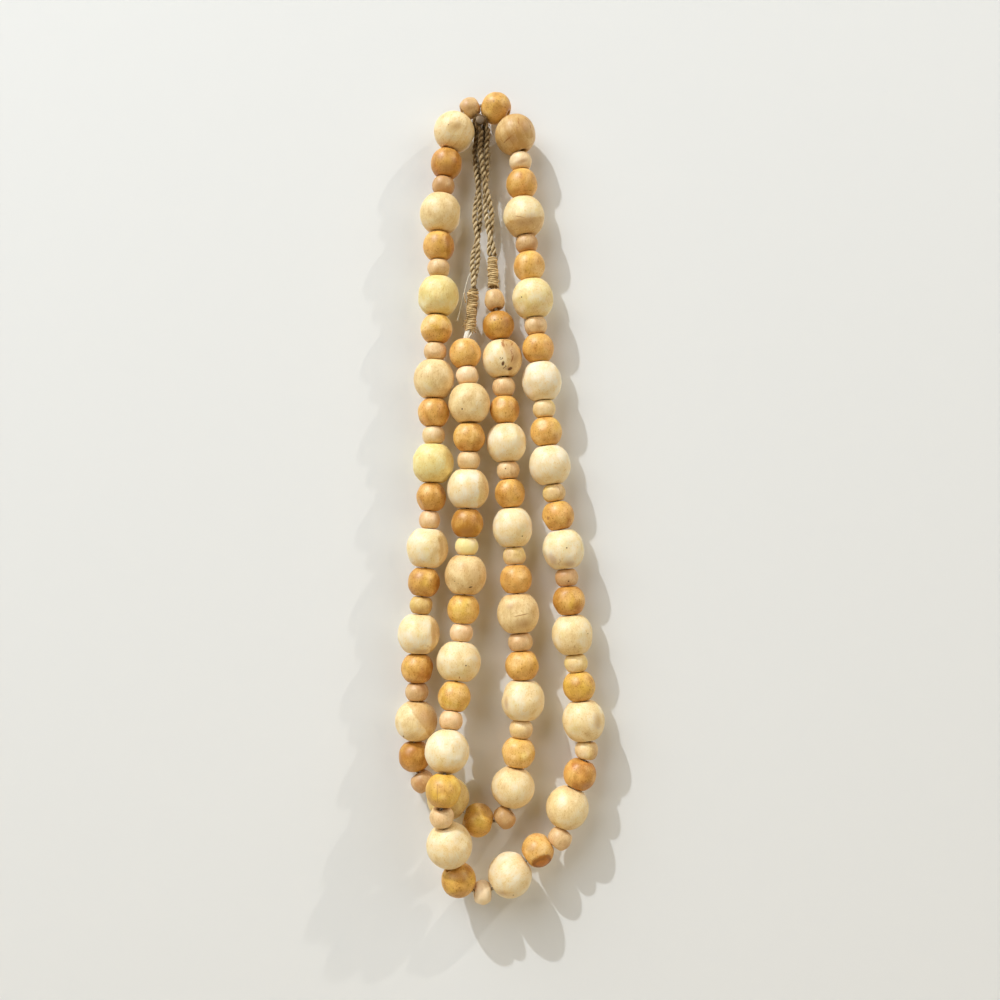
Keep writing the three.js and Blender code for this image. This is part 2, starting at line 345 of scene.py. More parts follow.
@dataclass(frozen=True)
class WoodFinish:
    """Turned wood, tinted by each bead's own traits and marks.

    The numbers that end in tone say how far each part of the figure darkens the wood, and those that end
    in cover say how fully each kind of mark hides it. An edge is where a mark begins and where it is full,
    as shares of its size.
    """

    name: str
    pale: Colour
    body: Colour
    deep: Colour
    warm: Colour
    cool: Colour
    ring_mm: float
    roughness: float
    gloss: float
    speckle: float
    clouding: float
    blush: float
    stain: Colour = (0.4, 0.16, 0.035)
    heart: Colour = (0.52, 0.17, 0.002)
    rim: Colour = (0.22, 0.07, 0.002)
    fleck: Colour = (0.12, 0.036, 0.005)
    ring_wander_mm: float = 5.0
    relief_mm: float = 0.06
    body_tone: float = 0.42
    fibre_tone: float = 0.52
    ring_tone: float = 0.34
    pore_tone: float = 0.2
    end_tone: float = 0.08
    seam_tone: float = 0.3
    seam_wander_mm: float = 3.4
    patch_cover: float = 0.45
    streak_cover: float = 0.95
    speck_cover: float = 0.97
    knot_cover: float = 0.98
    patch_edge: tuple[float, float] = (1.25, 0.1)
    streak_edge: tuple[float, float] = (1.15, 0.4)
    speck_edge: tuple[float, float] = (1.1, 0.6)
    knot_edge: tuple[float, float] = (1.1, 0.86)
    knot_rings: float = 12.0

    def build(self) -> bpy.types.Material:
        """Builds the wood.

        Returns:
            The material.
        """
        kit = MaterialKit(self.name)
        log = kit.attribute("log_place")
        traits = kit.attribute("traits")
        depth, warmth, figure = (kit.part(traits, i) for i in range(3))
        late = self._late_wood(kit, log)
        mottle = kit.noise(log, scale=0.17, detail=3.0) - 0.5
        fibre = kit.noise(kit.stretched(log, 1.0, 1.0, 0.07), scale=2.6, detail=3.0) - 0.5
        pores = kit.noise(kit.stretched(log, 1.0, 1.0, 0.16), scale=3.4, detail=1.0).step(0.66, 0.76)
        freckles = kit.noise(log, scale=1.25).step(0.56, 0.7)
        end_grain = kit.attribute("end_grain", 2)

        tone = depth + mottle * self.clouding + fibre * self.fibre_tone
        tone = tone + figure * (late - 0.3) * self.ring_tone
        tone = tone + pores * self.pore_tone + freckles * self.speckle + end_grain * self.end_tone
        tone = (tone + self._seam(kit, mottle) * self.seam_tone).clamped()
        stops = [(0.0, self.pale), (self.body_tone, self.body), (1.0, self.deep)]
        colour = kit.node("ShaderNodeValToRGB", {"stops": stops}, {0: tone})
        hue = warmth + (kit.noise(log, scale=0.14) - 0.5) * self.blush
        colour = kit.mix(colour, self.warm, hue.step(0.0, 1.0), "MULTIPLY")
        colour = kit.mix(colour, self.cool, hue.step(0.0, -1.0), "MULTIPLY")
        colour, hurt = self._marked(kit, colour, fibre, mottle)

        rough = self.roughness + fibre * 0.2 + pores * 0.1 + end_grain * 0.12 + hurt * 0.1
        height = 0.6 + fibre * 0.5 - pores * 0.35 - hurt * 0.15 + late * figure * 0.15
        return kit.surface(
            colour,
            rough,
            height,
            self.relief_mm,
            Specular_IOR_Level=0.5,
            Coat_Weight=self.gloss,
            Coat_Roughness=0.38,
        )

    def _late_wood(self, kit: MaterialKit, log: Shade) -> Shade:
        """The dark late wood of each year's ring.

        Args:
            kit: The material.
            log: The place in the log, in millimetres, with the pith up its third axis.

        Returns:
            A value that rises from 0 to 1 across each ring, most of it at the end.
        """
        wander = kit.vectors("SUBTRACT", kit.noise(log, scale=0.11, output=1), (0.5, 0.5, 0.5))
        most = self.ring_wander_mm
        bent = kit.vectors("ADD", log, kit.stretched(wander, most, most, most))
        ring = kit.length(kit.stretched(bent, 1.0, 1.0, 0.0)) / self.ring_mm
        return ring.fraction() ** 3.0

    def _seam(self, kit: MaterialKit, mottle: Shade) -> Shade:
        """The darker side of a bead, past a line that wanders a little: partly darker wood and partly
        painted shade.
        """
        return (kit.attribute("seam", 2) + mottle * self.seam_wander_mm).step(-0.5, 0.5)

    def _marked(self, kit: MaterialKit, colour: Shade, fibre: Shade, mottle: Shade) -> tuple[Shade, Shade]:
        """Lays a bead's own patch, streak, speck and knot over its colour.

        Args:
            kit: The material.
            colour: The wood's colour so far.
            fibre: The fine grain, about 0.
            mottle: The broad clouding, about 0.

        Returns:
            The marked colour, and how much of a flaw each point is.
        """
        patch = (kit.length(kit.attribute("patch")) + mottle * 2.2 + fibre * 0.5).step(*self.patch_edge)
        streak = (kit.length(kit.attribute("streak")) + mottle * 1.2 + fibre * 1.2).step(*self.streak_edge)
        speck = (kit.length(kit.attribute("speck")) + fibre * 0.6).step(*self.speck_edge)
        reach = kit.length(kit.attribute("knot")) + mottle * 0.7 + fibre * 0.45
        knot = reach.step(*self.knot_edge)
        growth = (reach * self.knot_rings).wave() * 0.2 + (reach - 0.42) * 1.5 + mottle * 1.6
        colour = kit.mix(colour, self.stain, patch * self.patch_cover)
        colour = kit.mix(colour, self.stain, streak * self.streak_cover)
        colour = kit.mix(colour, self.fleck, speck * self.speck_cover)
        grown = kit.mix(self.heart, self.rim, growth.clamped())
        colour = kit.mix(colour, grown, knot * self.knot_cover)
        return colour, (knot + streak + speck).clamped()


@dataclass(frozen=True)
class ThreadFinish:
    """Twisted thread, pale on the ridges of its plies and painted brown between them as shade."""

    name: str
    ridge: Colour
    body: Colour
    groove: Colour
    roughness: float = 0.88
    ridge_tone: float = 0.78
    hair_tone: float = 1.6
    blotch_tone: float = 0.9
    relief_mm: float = 0.24

    def build(self) -> bpy.types.Material:
        """Builds the thread's material.

        Returns:
            The material.
        """
        kit = MaterialKit(self.name)
        thread = kit.attribute("thread")
        # Painted shade: the deeper a point lies between plies or turns, and the nearer the nail, the darker
        # the thread.
        depth = kit.attribute("groove", 2)
        hairs = kit.noise(kit.stretched(thread, 1.0, 0.14, 1.0), scale=4.6, detail=4.0)
        blotch = kit.noise(thread, scale=0.22) - 0.5
        tone = self.ridge_tone - depth + (hairs - 0.5) * self.hair_tone
        tone = (tone + blotch * self.blotch_tone).clamped()
        stops = [(0.0, self.groove), (0.5, self.body), (1.0, self.ridge)]
        colour = kit.node("ShaderNodeValToRGB", {"stops": stops}, {0: tone})
        return kit.surface(
            colour,
            self.roughness,
            hairs,
            self.relief_mm,
            Specular_IOR_Level=0.2,
            Sheen_Weight=0.08,
            Sheen_Roughness=0.5,
        )


@dataclass(frozen=True)
class SteelFinish:
    """Plain drawn steel, a little dulled."""

    name: str
    bright: Colour
    dull: Colour
    roughness: float = 0.5
    relief_mm: float = 0.02

    def build(self) -> bpy.types.Material:
        """Builds the steel.

        Returns:
            The material.
        """
        kit = MaterialKit(self.name)
        thread = kit.attribute("thread")
        cloud = kit.noise(thread, scale=0.9, detail=3.0)
        scratches = kit.noise(kit.stretched(thread, 1.0, 0.1, 1.0), scale=6.0)
        colour = kit.mix(self.bright, self.dull, cloud)
        rough = self.roughness + cloud * 0.2 + scratches * 0.08
        return kit.surface(colour, rough, scratches, self.relief_mm, Metallic=1.0)


LARGE_WOOD = WoodFinish(
    name="large_bead_wood",
    pale=(0.89, 0.81, 0.63),
    body=(0.86, 0.65, 0.32),
    deep=(0.56, 0.31, 0.085),
    warm=(1.0, 0.9, 0.8),
    cool=(0.97, 1.0, 0.72),
    ring_mm=3.6,
    roughness=0.5,
    gloss=0.16,
    speckle=0.22,
    clouding=1.0,
    blush=1.8,
)
MEDIUM_WOOD = WoodFinish(
    name="medium_bead_wood",
    pale=(0.92, 0.63, 0.27),
    body=(0.77, 0.437, 0.108),
    deep=(0.46, 0.19, 0.02),
    warm=(1.0, 0.84, 0.76),
    cool=(1.0, 1.06, 0.66),
    ring_mm=3.8,
    roughness=0.46,
    gloss=0.18,
    speckle=0.38,
    clouding=1.5,
    blush=2.8,
)
SMALL_WOOD = WoodFinish(
    name="small_bead_wood",
    pale=(0.92, 0.73, 0.46),
    body=(0.81, 0.57, 0.28),
    deep=(0.54, 0.3, 0.11),
    warm=(1.0, 0.88, 0.84),
    cool=(1.0, 1.02, 0.66),
    ring_mm=2.8,
    roughness=0.5,
    gloss=0.16,
    speckle=0.22,
    clouding=1.2,
    blush=2.0,
)
LOOP_JUTE = ThreadFinish(
    name="jute",
    ridge=(0.84, 0.7, 0.46),
    body=(0.49, 0.36, 0.185),
    groove=(0.14, 0.08, 0.026),
)
WHIPPING_JUTE = ThreadFinish(
    name="whipping_jute",
    ridge=(0.82, 0.61, 0.32),
    body=(0.44, 0.285, 0.115),
    groove=(0.08, 0.04, 0.013),
)
WHITE_COTTON = ThreadFinish(
    name="white_cotton",
    ridge=(0.95, 0.92, 0.82),
    body=(0.9, 0.85, 0.72),
    groove=(0.2, 0.12, 0.05),
)
# The nail's steel is painted dark brown: painted shade, for the shade that the beads above cast on the nail
# head.
NAIL_STEEL = SteelFinish(name="nail_steel", bright=(0.28, 0.2, 0.13), dull=(0.13, 0.09, 0.055))


# ---- Lines and tubes ----


def place(across: float, out: float, up: float) -> Vector:
    """A place in metres, from millimetres right of the nail, out from the wall and above the nail."""
    return Vector((across, -out, up)) * MM


def on_front(right: float, up: float, radius: float) -> tuple[float, float, float]:
    """A place on the front of a ball, from the ball's middle, in the frame's directions."""
    return (right, -math.sqrt(max(radius**2 - right**2 - up**2, 0.01)), up)


def spoke(square: tuple[Vector, Vector], angle: float) -> Vector:
    """The direction at an angle round a line, from the two directions square to it."""
    return math.cos(angle) * square[0] + math.sin(angle) * square[1]


def distances(points: np.ndarray, density: float | np.ndarray = 1.0) -> np.ndarray:
    """Measures how far along a path each of its points is.

    Args:
        points: The path's points.
        density: How much each stretch counts for its length, for the whole path or for each stretch.

    Returns:
        The distances from the first point.
    """
    steps = np.linalg.norm(np.diff(points, axis=0), axis=1)
    return np.concatenate([[0.0], np.cumsum(density * steps)])


@dataclass
class SmoothLine:
    """A curve through points that bends without overshooting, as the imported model's own lines do."""

    points: list[Vector]
    fine_steps: int = 24

    def at(self, share: float) -> Vector:
        """A point on the line.

        Args:
            share: From 0 at the first point to 1 at the last, with each stretch an equal part.

        Returns:
            The point.
        """
        last = len(self.points) - 1
        reach = min(max(share, 0.0), 1.0) * last
        index = min(int(reach), last - 1)
        part = reach - index
        start, end = self.points[index], self.points[index + 1]
        before = self.points[index - 1] if index else 2.0 * start - end
        after = self.points[index + 2] if index + 2 <= last else 2.0 * end - start
        gaps = [math.sqrt((b - a).length) for a, b in ((before, start), (start, end), (end, after))]
        leave = (start - before) / gaps[0] - (end - before) / (gaps[0] + gaps[1]) + (end - start) / gaps[1]
        arrive = (end - start) / gaps[1] - (after - start) / (gaps[1] + gaps[2]) + (after - end) / gaps[2]
        leave, arrive = leave * gaps[1], arrive * gaps[1]
        square = 3.0 * (end - start) - 2.0 * leave - arrive
        cube = 2.0 * (start - end) + leave + arrive
        return start + leave * part + square * part**2 + cube * part**3

    def direction(self, share: float) -> Vector:
        """Which way the line runs at a point."""
        step = 1e-4
        return (self.at(min(share + step, 1.0)) - self.at(max(share - step, 0.0))).normalized()

    def even(self, spacing: float) -> list[Vector]:
        """Points at even distances.

        Args:
            spacing: About how far apart they are, in metres.

        Returns:
            The points, with both ends.
        """
        shares = np.linspace(0.0, 1.0, self.fine_steps * len(self.points))
        fine = np.array([self.at(share) for share in shares])
        run = distances(fine)
        marks = np.linspace(0.0, run[-1], max(2, round(run[-1] / spacing) + 1))
        return [Vector([np.interp(m, run, fine[:, i]) for i in range(3)]) for m in marks]


@dataclass
class Shell:
    """The growing mesh of one piece, with the attributes that its finish reads."""

    points: list[Vector] = field(default_factory=list)
    faces: list[tuple[int, ...]] = field(default_factory=list)
    vectors: dict[str, list[tuple[float, ...]]] = field(default_factory=dict)
    numbers: dict[str, list[float]] = field(default_factory=dict)

    def add_grid(self, rows: int, columns: int, first: int, wrap_rows: bool) -> None:
        """Joins points laid out in rows into faces. Each row closes on itself.

        Args:
            rows: How many rows there are.
            columns: How many points each row has.
            first: The number of the first point.
            wrap_rows: Whether the last row joins the first.
        """
        for row in range(rows if wrap_rows else rows - 1):
            here = first + row * columns
            there = first + (row + 1) % rows * columns
            for i in range(columns):
                j = (i + 1) % columns
                self.faces.append((here + i, here + j, there + j, there + i))

    def add_tube(
        self,
        path: Sequence[Vector],
        radii: Sequence[float],
        sides: int,
        groove: float = 0.0,
        seed: float = 0.0,
    ) -> None:
        """Adds a closed tube along a path.

        Args:
            path: The points that it follows, in metres.
            radii: The tube's radius at each, in metres.
            sides: How many sides it has.
            groove: How deep in a rope it lies, from 0 on the outside to 1 in the middle; its thread is
                painted that much darker, as shade.
            seed: Moves its pattern, so that no two tubes look alike.
        """
        first = len(self.points)
        frames = carried_frames(path)
        run = 0.0
        for index, (centre, square) in enumerate(zip(path, frames)):
            run += (centre - path[max(index - 1, 0)]).length
            for i in range(sides):
                angle = TURN * i / sides
                self.points.append(centre + spoke(square, angle) * radii[index])
                pattern = (math.cos(angle) * PATTERN_MM + seed, run / MM, math.sin(angle) * PATTERN_MM)
                self.vectors.setdefault("thread", []).append(pattern)
                self.numbers.setdefault("groove", []).append(groove)
        self.add_grid(len(path), sides, first, wrap_rows=False)
        self.faces.append(tuple(first + i for i in reversed(range(sides))))
        self.faces.append(tuple(first + (len(path) - 1) * sides + i for i in range(sides)))

    def to_object(self, name: str, material: bpy.types.Material) -> bpy.types.Object:
        """Makes the piece from the mesh.

        Args:
            name: The piece's name.
            material: Its material.

        Returns:
            The piece, at the frame's origin.
        """
        mesh = bpy.data.meshes.new(name)
        mesh.from_pydata([tuple(p) for p in self.points], [], self.faces)
        for key, values in self.vectors.items():
            made = mesh.attributes.new(key, "FLOAT_VECTOR", "POINT")
            made.data.foreach_set("vector", np.array(values, np.float32).ravel())
        for key, values in self.numbers.items():
            made = mesh.attributes.new(key, "FLOAT", "POINT")
            made.data.foreach_set("value", np.array(values, np.float32))
        mesh.polygons.foreach_set("use_smooth", [True] * len(mesh.polygons))
        mesh.materials.append(material)
        mesh.update()
        thing = bpy.data.objects.new(name, mesh)
        bpy.context.scene.collection.objects.link(thing)
        return thing


def carried_frames(path: Sequence[Vector]) -> list[tuple[Vector, Vector]]:
    """Two directions square to a path at each of its points, carried along it without twist.

    Args:
        path: The points.

    Returns:
        The pair of directions at each point, right-handed about the way the path runs.
    """
    frames = []
    side = None
    for index in range(len(path)):
        along = (path[min(index + 1, len(path) - 1)] - path[max(index - 1, 0)]).normalized()
        if side is None:
            side = along.orthogonal()
        side = (side - along * side.dot(along)).normalized()
        frames.append((side, along.cross(side)))
    return frames


@dataclass(frozen=True)
class Hairs:
    """The loose fibres of a rope. Millimetres, with their shape as shares of a fibre's reach."""

    count: int = 0
    radius: float = 0.06
    taper: float = 0.15
    sides: int = 3
    steps: int = 4
    bare_ends: int = 4
    least_reach: float = 0.4
    most_reach: float = 1.5
    root: float = 0.8
    sweep: float = 0.8
    lie: float = 1.7
    bow: float = 0.7
    stretch: float = 0.4
    # How much painted shade the hairs get.
    groove: float = 0.1


@dataclass(frozen=True)
class Rope:
    """How a rope is laid up. Its plies rise to the right, as on a Z-laid rope. Millimetres."""

    radius: float
    plies: int
    pitch: float
    ply_radius: float
    sides: int
    step: float
    hairs: Hairs = Hairs()
    unevenness: float = 0.12
    # How fast the painted shade deepens towards the middle of the rope.
    groove_depth: float = 1.7

    def lay(self, shell: Shell, line: SmoothLine, seed: int) -> list[Vector]:
        """Lays the rope along a line.

        Args:
            shell: The mesh that takes it.
            line: Its middle line.
            seed: For its unevenness and its hairs.

        Returns:
            The points that the middle of the rope follows.
        """
        path = line.even(self.step * MM)
        frames = carried_frames(path)
        swing = (self.radius - self.ply_radius) * MM
        for ply in range(self.plies):
            start = TURN * ply / self.plies
            track, radii = [], []
            for index, (centre, square) in enumerate(zip(path, frames)):
                run = self.step * index
                track.append(centre + spoke(square, start + TURN * run / self.pitch) * swing)
                uneven = noise.noise(Vector((run * 0.31, ply * 7.0, seed * 3.1)))
                radii.append(self.ply_radius * (1.0 + self.unevenness * uneven) * MM)
            self._add_ply(shell, track, radii, path, seed + ply * 0.37)
        self._add_hairs(shell, path, frames, random.Random(seed))
        return path

    def _add_ply(
        self,
        shell: Shell,
        track: list[Vector],
        radii: list[float],
        path: list[Vector],
        seed: float,
    ) -> None:
        """Adds one ply, and marks how near the middle of the rope each of its points lies, where it is
        painted darker as shade.

        Args:
            shell: The mesh that takes it.
            track: The ply's own middle line.
            radii: The ply's radius along it.
            path: The rope's middle line.
            seed: Moves the ply's pattern.
        """
        before = len(shell.points)
        shell.add_tube(track, radii, self.sides, seed=seed)
        for index in range(before, len(shell.points)):
            centre = path[(index - before) // self.sides]
            reach = (shell.points[index] - centre).length / (self.radius * MM)
            shell.numbers["groove"][index] = min(1.0, max(0.0, (1.0 - reach) * self.groove_depth))

    def _add_hairs(
        self,
        shell: Shell,
        path: list[Vector],
        frames: list[tuple[Vector, Vector]],
        draw: random.Random,
    ) -> None:
        """Adds loose fibres that stand a little off the rope.

        Args:
            shell: The mesh that takes them.
            path: The rope's middle line.
            frames: The directions square to it.
            draw: Where the chances come from.
        """
        hairs = self.hairs
        thickness = [hairs.radius * MM * (1.0 - hairs.taper * step) for step in range(hairs.steps + 1)]
        for _ in range(hairs.count):
            index = int(draw.triangular(hairs.bare_ends, len(path) - 1 - hairs.bare_ends))
            side, up = frames[index]
            along = side.cross(up) * draw.choice((-1.0, 1.0))
            out = spoke((side, up), draw.uniform(0.0, TURN))
            turn = along.cross(out) * draw.uniform(-hairs.sweep, hairs.sweep)
            reach = draw.uniform(hairs.least_reach, hairs.most_reach) * MM
            root = path[index] + out * self.radius * hairs.root * MM
            track = []
            for step in range(hairs.steps + 1):
                share = step / hairs.steps
                rise = out * reach * share**hairs.bow
                run = (along * hairs.lie + turn) * reach * share * (1.0 + share * hairs.stretch)
                track.append(root + rise + run)
            shell.add_tube(track, thickness, hairs.sides, hairs.groove)


# ---- Beads ----


class Kind(Enum):
    """The kinds of bead."""

    LARGE = "large"
    MEDIUM = "medium"
    SMALL = "small"


@dataclass(frozen=True)
class Turning:
    """How a kind of bead is turned: an oval cut flat at both ends of its bore. Millimetres.

    Around and along are its mesh's points, and depth and warmth the tone of its wood.
    """

    diameter: float
    height: float
    oval: float
    rounding: float
    bore: float
    around: int
    along: int
    depth: float
    warmth: float
    finish: WoodFinish
    slot: str
    side_points: int = 400
    face_points: int = 90
    bore_points: int = 200
    outline_points: int = 720
    bore_margin: float = 0.15
    mouth_depth: float = 1.0
    bore_density: float = 0.12

    def profile(self, slope: float) -> np.ndarray:
        """The bead's closed outline, out over its side and back through its bore.

        Args:
            slope: From 0 for the usual full shoulders to 1 for those of a true ball.

        Returns:
            The radius and height of each point.
        """
        half = self.height / 2.0
        oval = self.oval + (self.diameter / 2.0 - self.oval) * slope
        edge = math.asin(half / oval)
        sweep = np.linspace(-edge, edge, self.side_points)
        side = np.stack([self.diameter / 2.0 * np.cos(sweep), oval * np.sin(sweep)], axis=1)
        rim = side[-1, 0]
        faces = self.face_points
        face = np.stack([np.linspace(rim, self.bore, faces), np.full(faces, half)], axis=1)
        walls = self.bore_points
        wall = np.stack([np.full(walls, self.bore), np.linspace(half, -half, walls)], axis=1)
        foot = np.stack([np.linspace(self.bore, rim, faces), np.full(faces, -half)], axis=1)
        rough = resample(np.concatenate([side, face[1:], wall[1:], foot[1:-1]]), self.outline_points)
        return self._thinned(rounded(rough, self.rounding))

    def _thinned(self, outline: np.ndarray) -> np.ndarray:
        """Keeps as many points as the bead needs, few of them inside its bore.

        Args:
            outline: A fine closed outline.

        Returns:
            The coarse outline.
        """
        in_bore = outline[:, 0] < self.bore + self.bore_margin
        inside = in_bore & (np.abs(outline[:, 1]) < self.height / 2.0 - self.mouth_depth)
        return resample(outline, self.along, np.where(inside, self.bore_density, 1.0))


def resample(outline: np.ndarray, count: int, density: float | np.ndarray = 1.0) -> np.ndarray:
    """Spreads points round a closed outline.

    Args:
        outline: The outline's points.
        count: How many points are wanted.
        density: How close together they lie, for the whole outline or for each stretch of it.

    Returns:
        The new points.
    """
    closed = np.concatenate([outline, outline[:1]])
    run = distances(closed, density)
    marks = np.linspace(0.0, run[-1], count, endpoint=False)
    return np.stack([np.interp(marks, run, closed[:, i]) for i in range(2)], axis=1)


def rounded(outline: np.ndarray, width: float) -> np.ndarray:
    """Rounds the corners of an even closed outline.

    Args:
        outline: The outline's points.
        width: How far each corner is rounded, in the outline's own unit.

    Returns:
        The rounded outline.
    """
    count = len(outline)
    spacing = float(np.linalg.norm(outline[1] - outline[0]))
    offset = (np.arange(count) + count // 2) % count - count // 2
    weights = np.exp(-0.5 * (offset * spacing / width) ** 2)
    spectrum = np.fft.fft(weights / weights.sum())
    return np.stack([np.real(np.fft.ifft(np.fft.fft(outline[:, i]) * spectrum)) for i in range(2)], axis=1)


TURNINGS = {
    Kind.LARGE: Turning(
        diameter=20.2,
        height=18.9,
        oval=11.0,
        rounding=0.75,
        bore=2.0,
        around=40,
        along=44,
        depth=0.36,
        warmth=0.0,
        finish=LARGE_WOOD,
        slot="large_bead_wood",
    ),
    Kind.MEDIUM: Turning(
        diameter=15.5,
        height=13.8,
        oval=8.1,
        rounding=0.6,
        bore=1.8,
        around=36,
        along=38,
        depth=0.48,
        warmth=0.0,
        finish=MEDIUM_WOOD,
        slot="medium_bead_wood",
    ),
    Kind.SMALL: Turning(
        diameter=11.2,
        height=8.4,
        oval=5.6,
        rounding=0.5,
        bore=1.6,
        around=30,
        along=32,
        depth=0.5,
        warmth=0.1,
        finish=SMALL_WOOD,
        slot="small_bead_wood",
    ),
}
# The order in which the kinds are strung, over and over.
STRINGING = (Kind.MEDIUM, Kind.SMALL, Kind.LARGE)
BEAD_SEED = 101


@dataclass(frozen=True)
class Wear:
    """How turning and tumbling wear a bead.

    It starts a little wider and taller than its kind. Swells and dents are cut in all over it, then a few
    facets with soft edges. Their depths are shares of its radius, and none reaches into its bore.
    """

    wide_before: float = 1.035
    tall_before: float = 1.008
    swell: float = 0.016
    swell_fineness: float = 1.3
    dent: float = 0.012
    dent_fineness: float = 3.1
    fewest_facets: int = 3
    most_facets: int = 5
    facet_tilt: float = 0.5
    shallow: float = 0.012
    deep: float = 0.035
    facet_from: float = 0.99
    soft_mm: float = 0.12
    mouth_mm: float = 2.0


@dataclass(frozen=True)
class Timber:
    """Where a bead lay in the wood that it was cut from, in millimetres, and how much the tone varies."""

    lean: float = 0.22
    near_pith: float = 14.0
    far_from_pith: float = 34.0
    aside: float = 8.0
    length: float = 400.0
    depth: float = 0.05
    warmth: float = 0.12
    end_grain_from: float = 0.72
    end_grain_over: float = 0.28


WEAR = Wear()
TIMBER = Timber()
# How far away a mark or a seam is taken to be when a bead has none.
FAR_AWAY = 9.0


class MarkKind(Enum):
    """What a mark on a bead is. The value is the attribute that holds it."""

    KNOT = "knot"
    SPECK = "speck"
    STREAK = "streak"
    PATCH = "patch"


@dataclass(frozen=True)
class Mark:
    """A mark in the wood. Millimetres, as seen from in front of the wall."""

    kind: MarkKind
    right: float
    up: float
    wide: float
    tall: float
    lean: float = 0.0

    def spread(self, offsets: np.ndarray, radius: float) -> np.ndarray:
        """How far each point is from the mark's middle, as shares of the mark's own size.

        Args:
            offsets: The points from the bead's middle, in millimetres, in the frame's directions.
            radius: The bead's radius.

        Returns:
            One vector a point, 1 long at the mark's edge.
        """
        middle = on_front(self.right, self.up, radius)
        normal = Vector(middle).normalized()
        side = Vector((0.0, 0.0, 1.0)).cross(-normal).normalized()
        side = Matrix.Rotation(math.radians(-self.lean), 3, -normal) @ side
        rise = (-normal).cross(side) * -1.0
        basis = np.array([side / self.wide, rise / self.tall, normal / max(self.wide, self.tall)])
        return (offsets - np.array(middle)) @ basis.T


def knot(right: float, up: float, wide: float, tall: float, lean: float = 0.0) -> Mark:
    """A dark knot."""
    return Mark(MarkKind.KNOT, right, up, wide, tall, lean)


def speck(right: float, up: float, wide: float = 0.4, tall: float | None = None, lean: float = 0.0) -> Mark:
    """A small dark fleck, round if only its width is given."""
    return Mark(MarkKind.SPECK, right, up, wide, tall or wide, lean)


def streak(right: float, up: float, wide: float, tall: float, lean: float = 0.0) -> Mark:
    """A long brown mark."""
    return Mark(MarkKind.STREAK, right, up, wide, tall, lean)


def patch(right: float, up: float, wide: float, tall: float, lean: float = 0.0) -> Mark:
    """A broad tan cloud."""
    return Mark(MarkKind.PATCH, right, up, wide, tall, lean)


@dataclass(frozen=True)
class Look:
    """How one bead differs from its kind.

    Depth is how much darker it is, and warmth how much redder, or yellower below 0. Wide and tall are its
    size over the usual one, and slide is how far it sits along the cord, in millimetres. Figure is how
    strongly its rings show. The seam is where the bead turns darker, from the middle to the right, and
    seam_lean turns that line; that darker side is partly darker wood and partly painted shade, turned away
    from the upper-left light. Flats are the facets left on it, as right, up and how deep.
    """

    depth: float = 0.0
    warmth: float = 0.0
    wide: float = 1.0
    tall: float = 1.0
    slide: float = 0.0
    figure: float = 0.2
    marks: tuple[Mark, ...] = ()
    seam: float | None = None
    seam_lean: float = 0.0
    flats: tuple[tuple[float, float, float], ...] = ()


USUAL = Look()
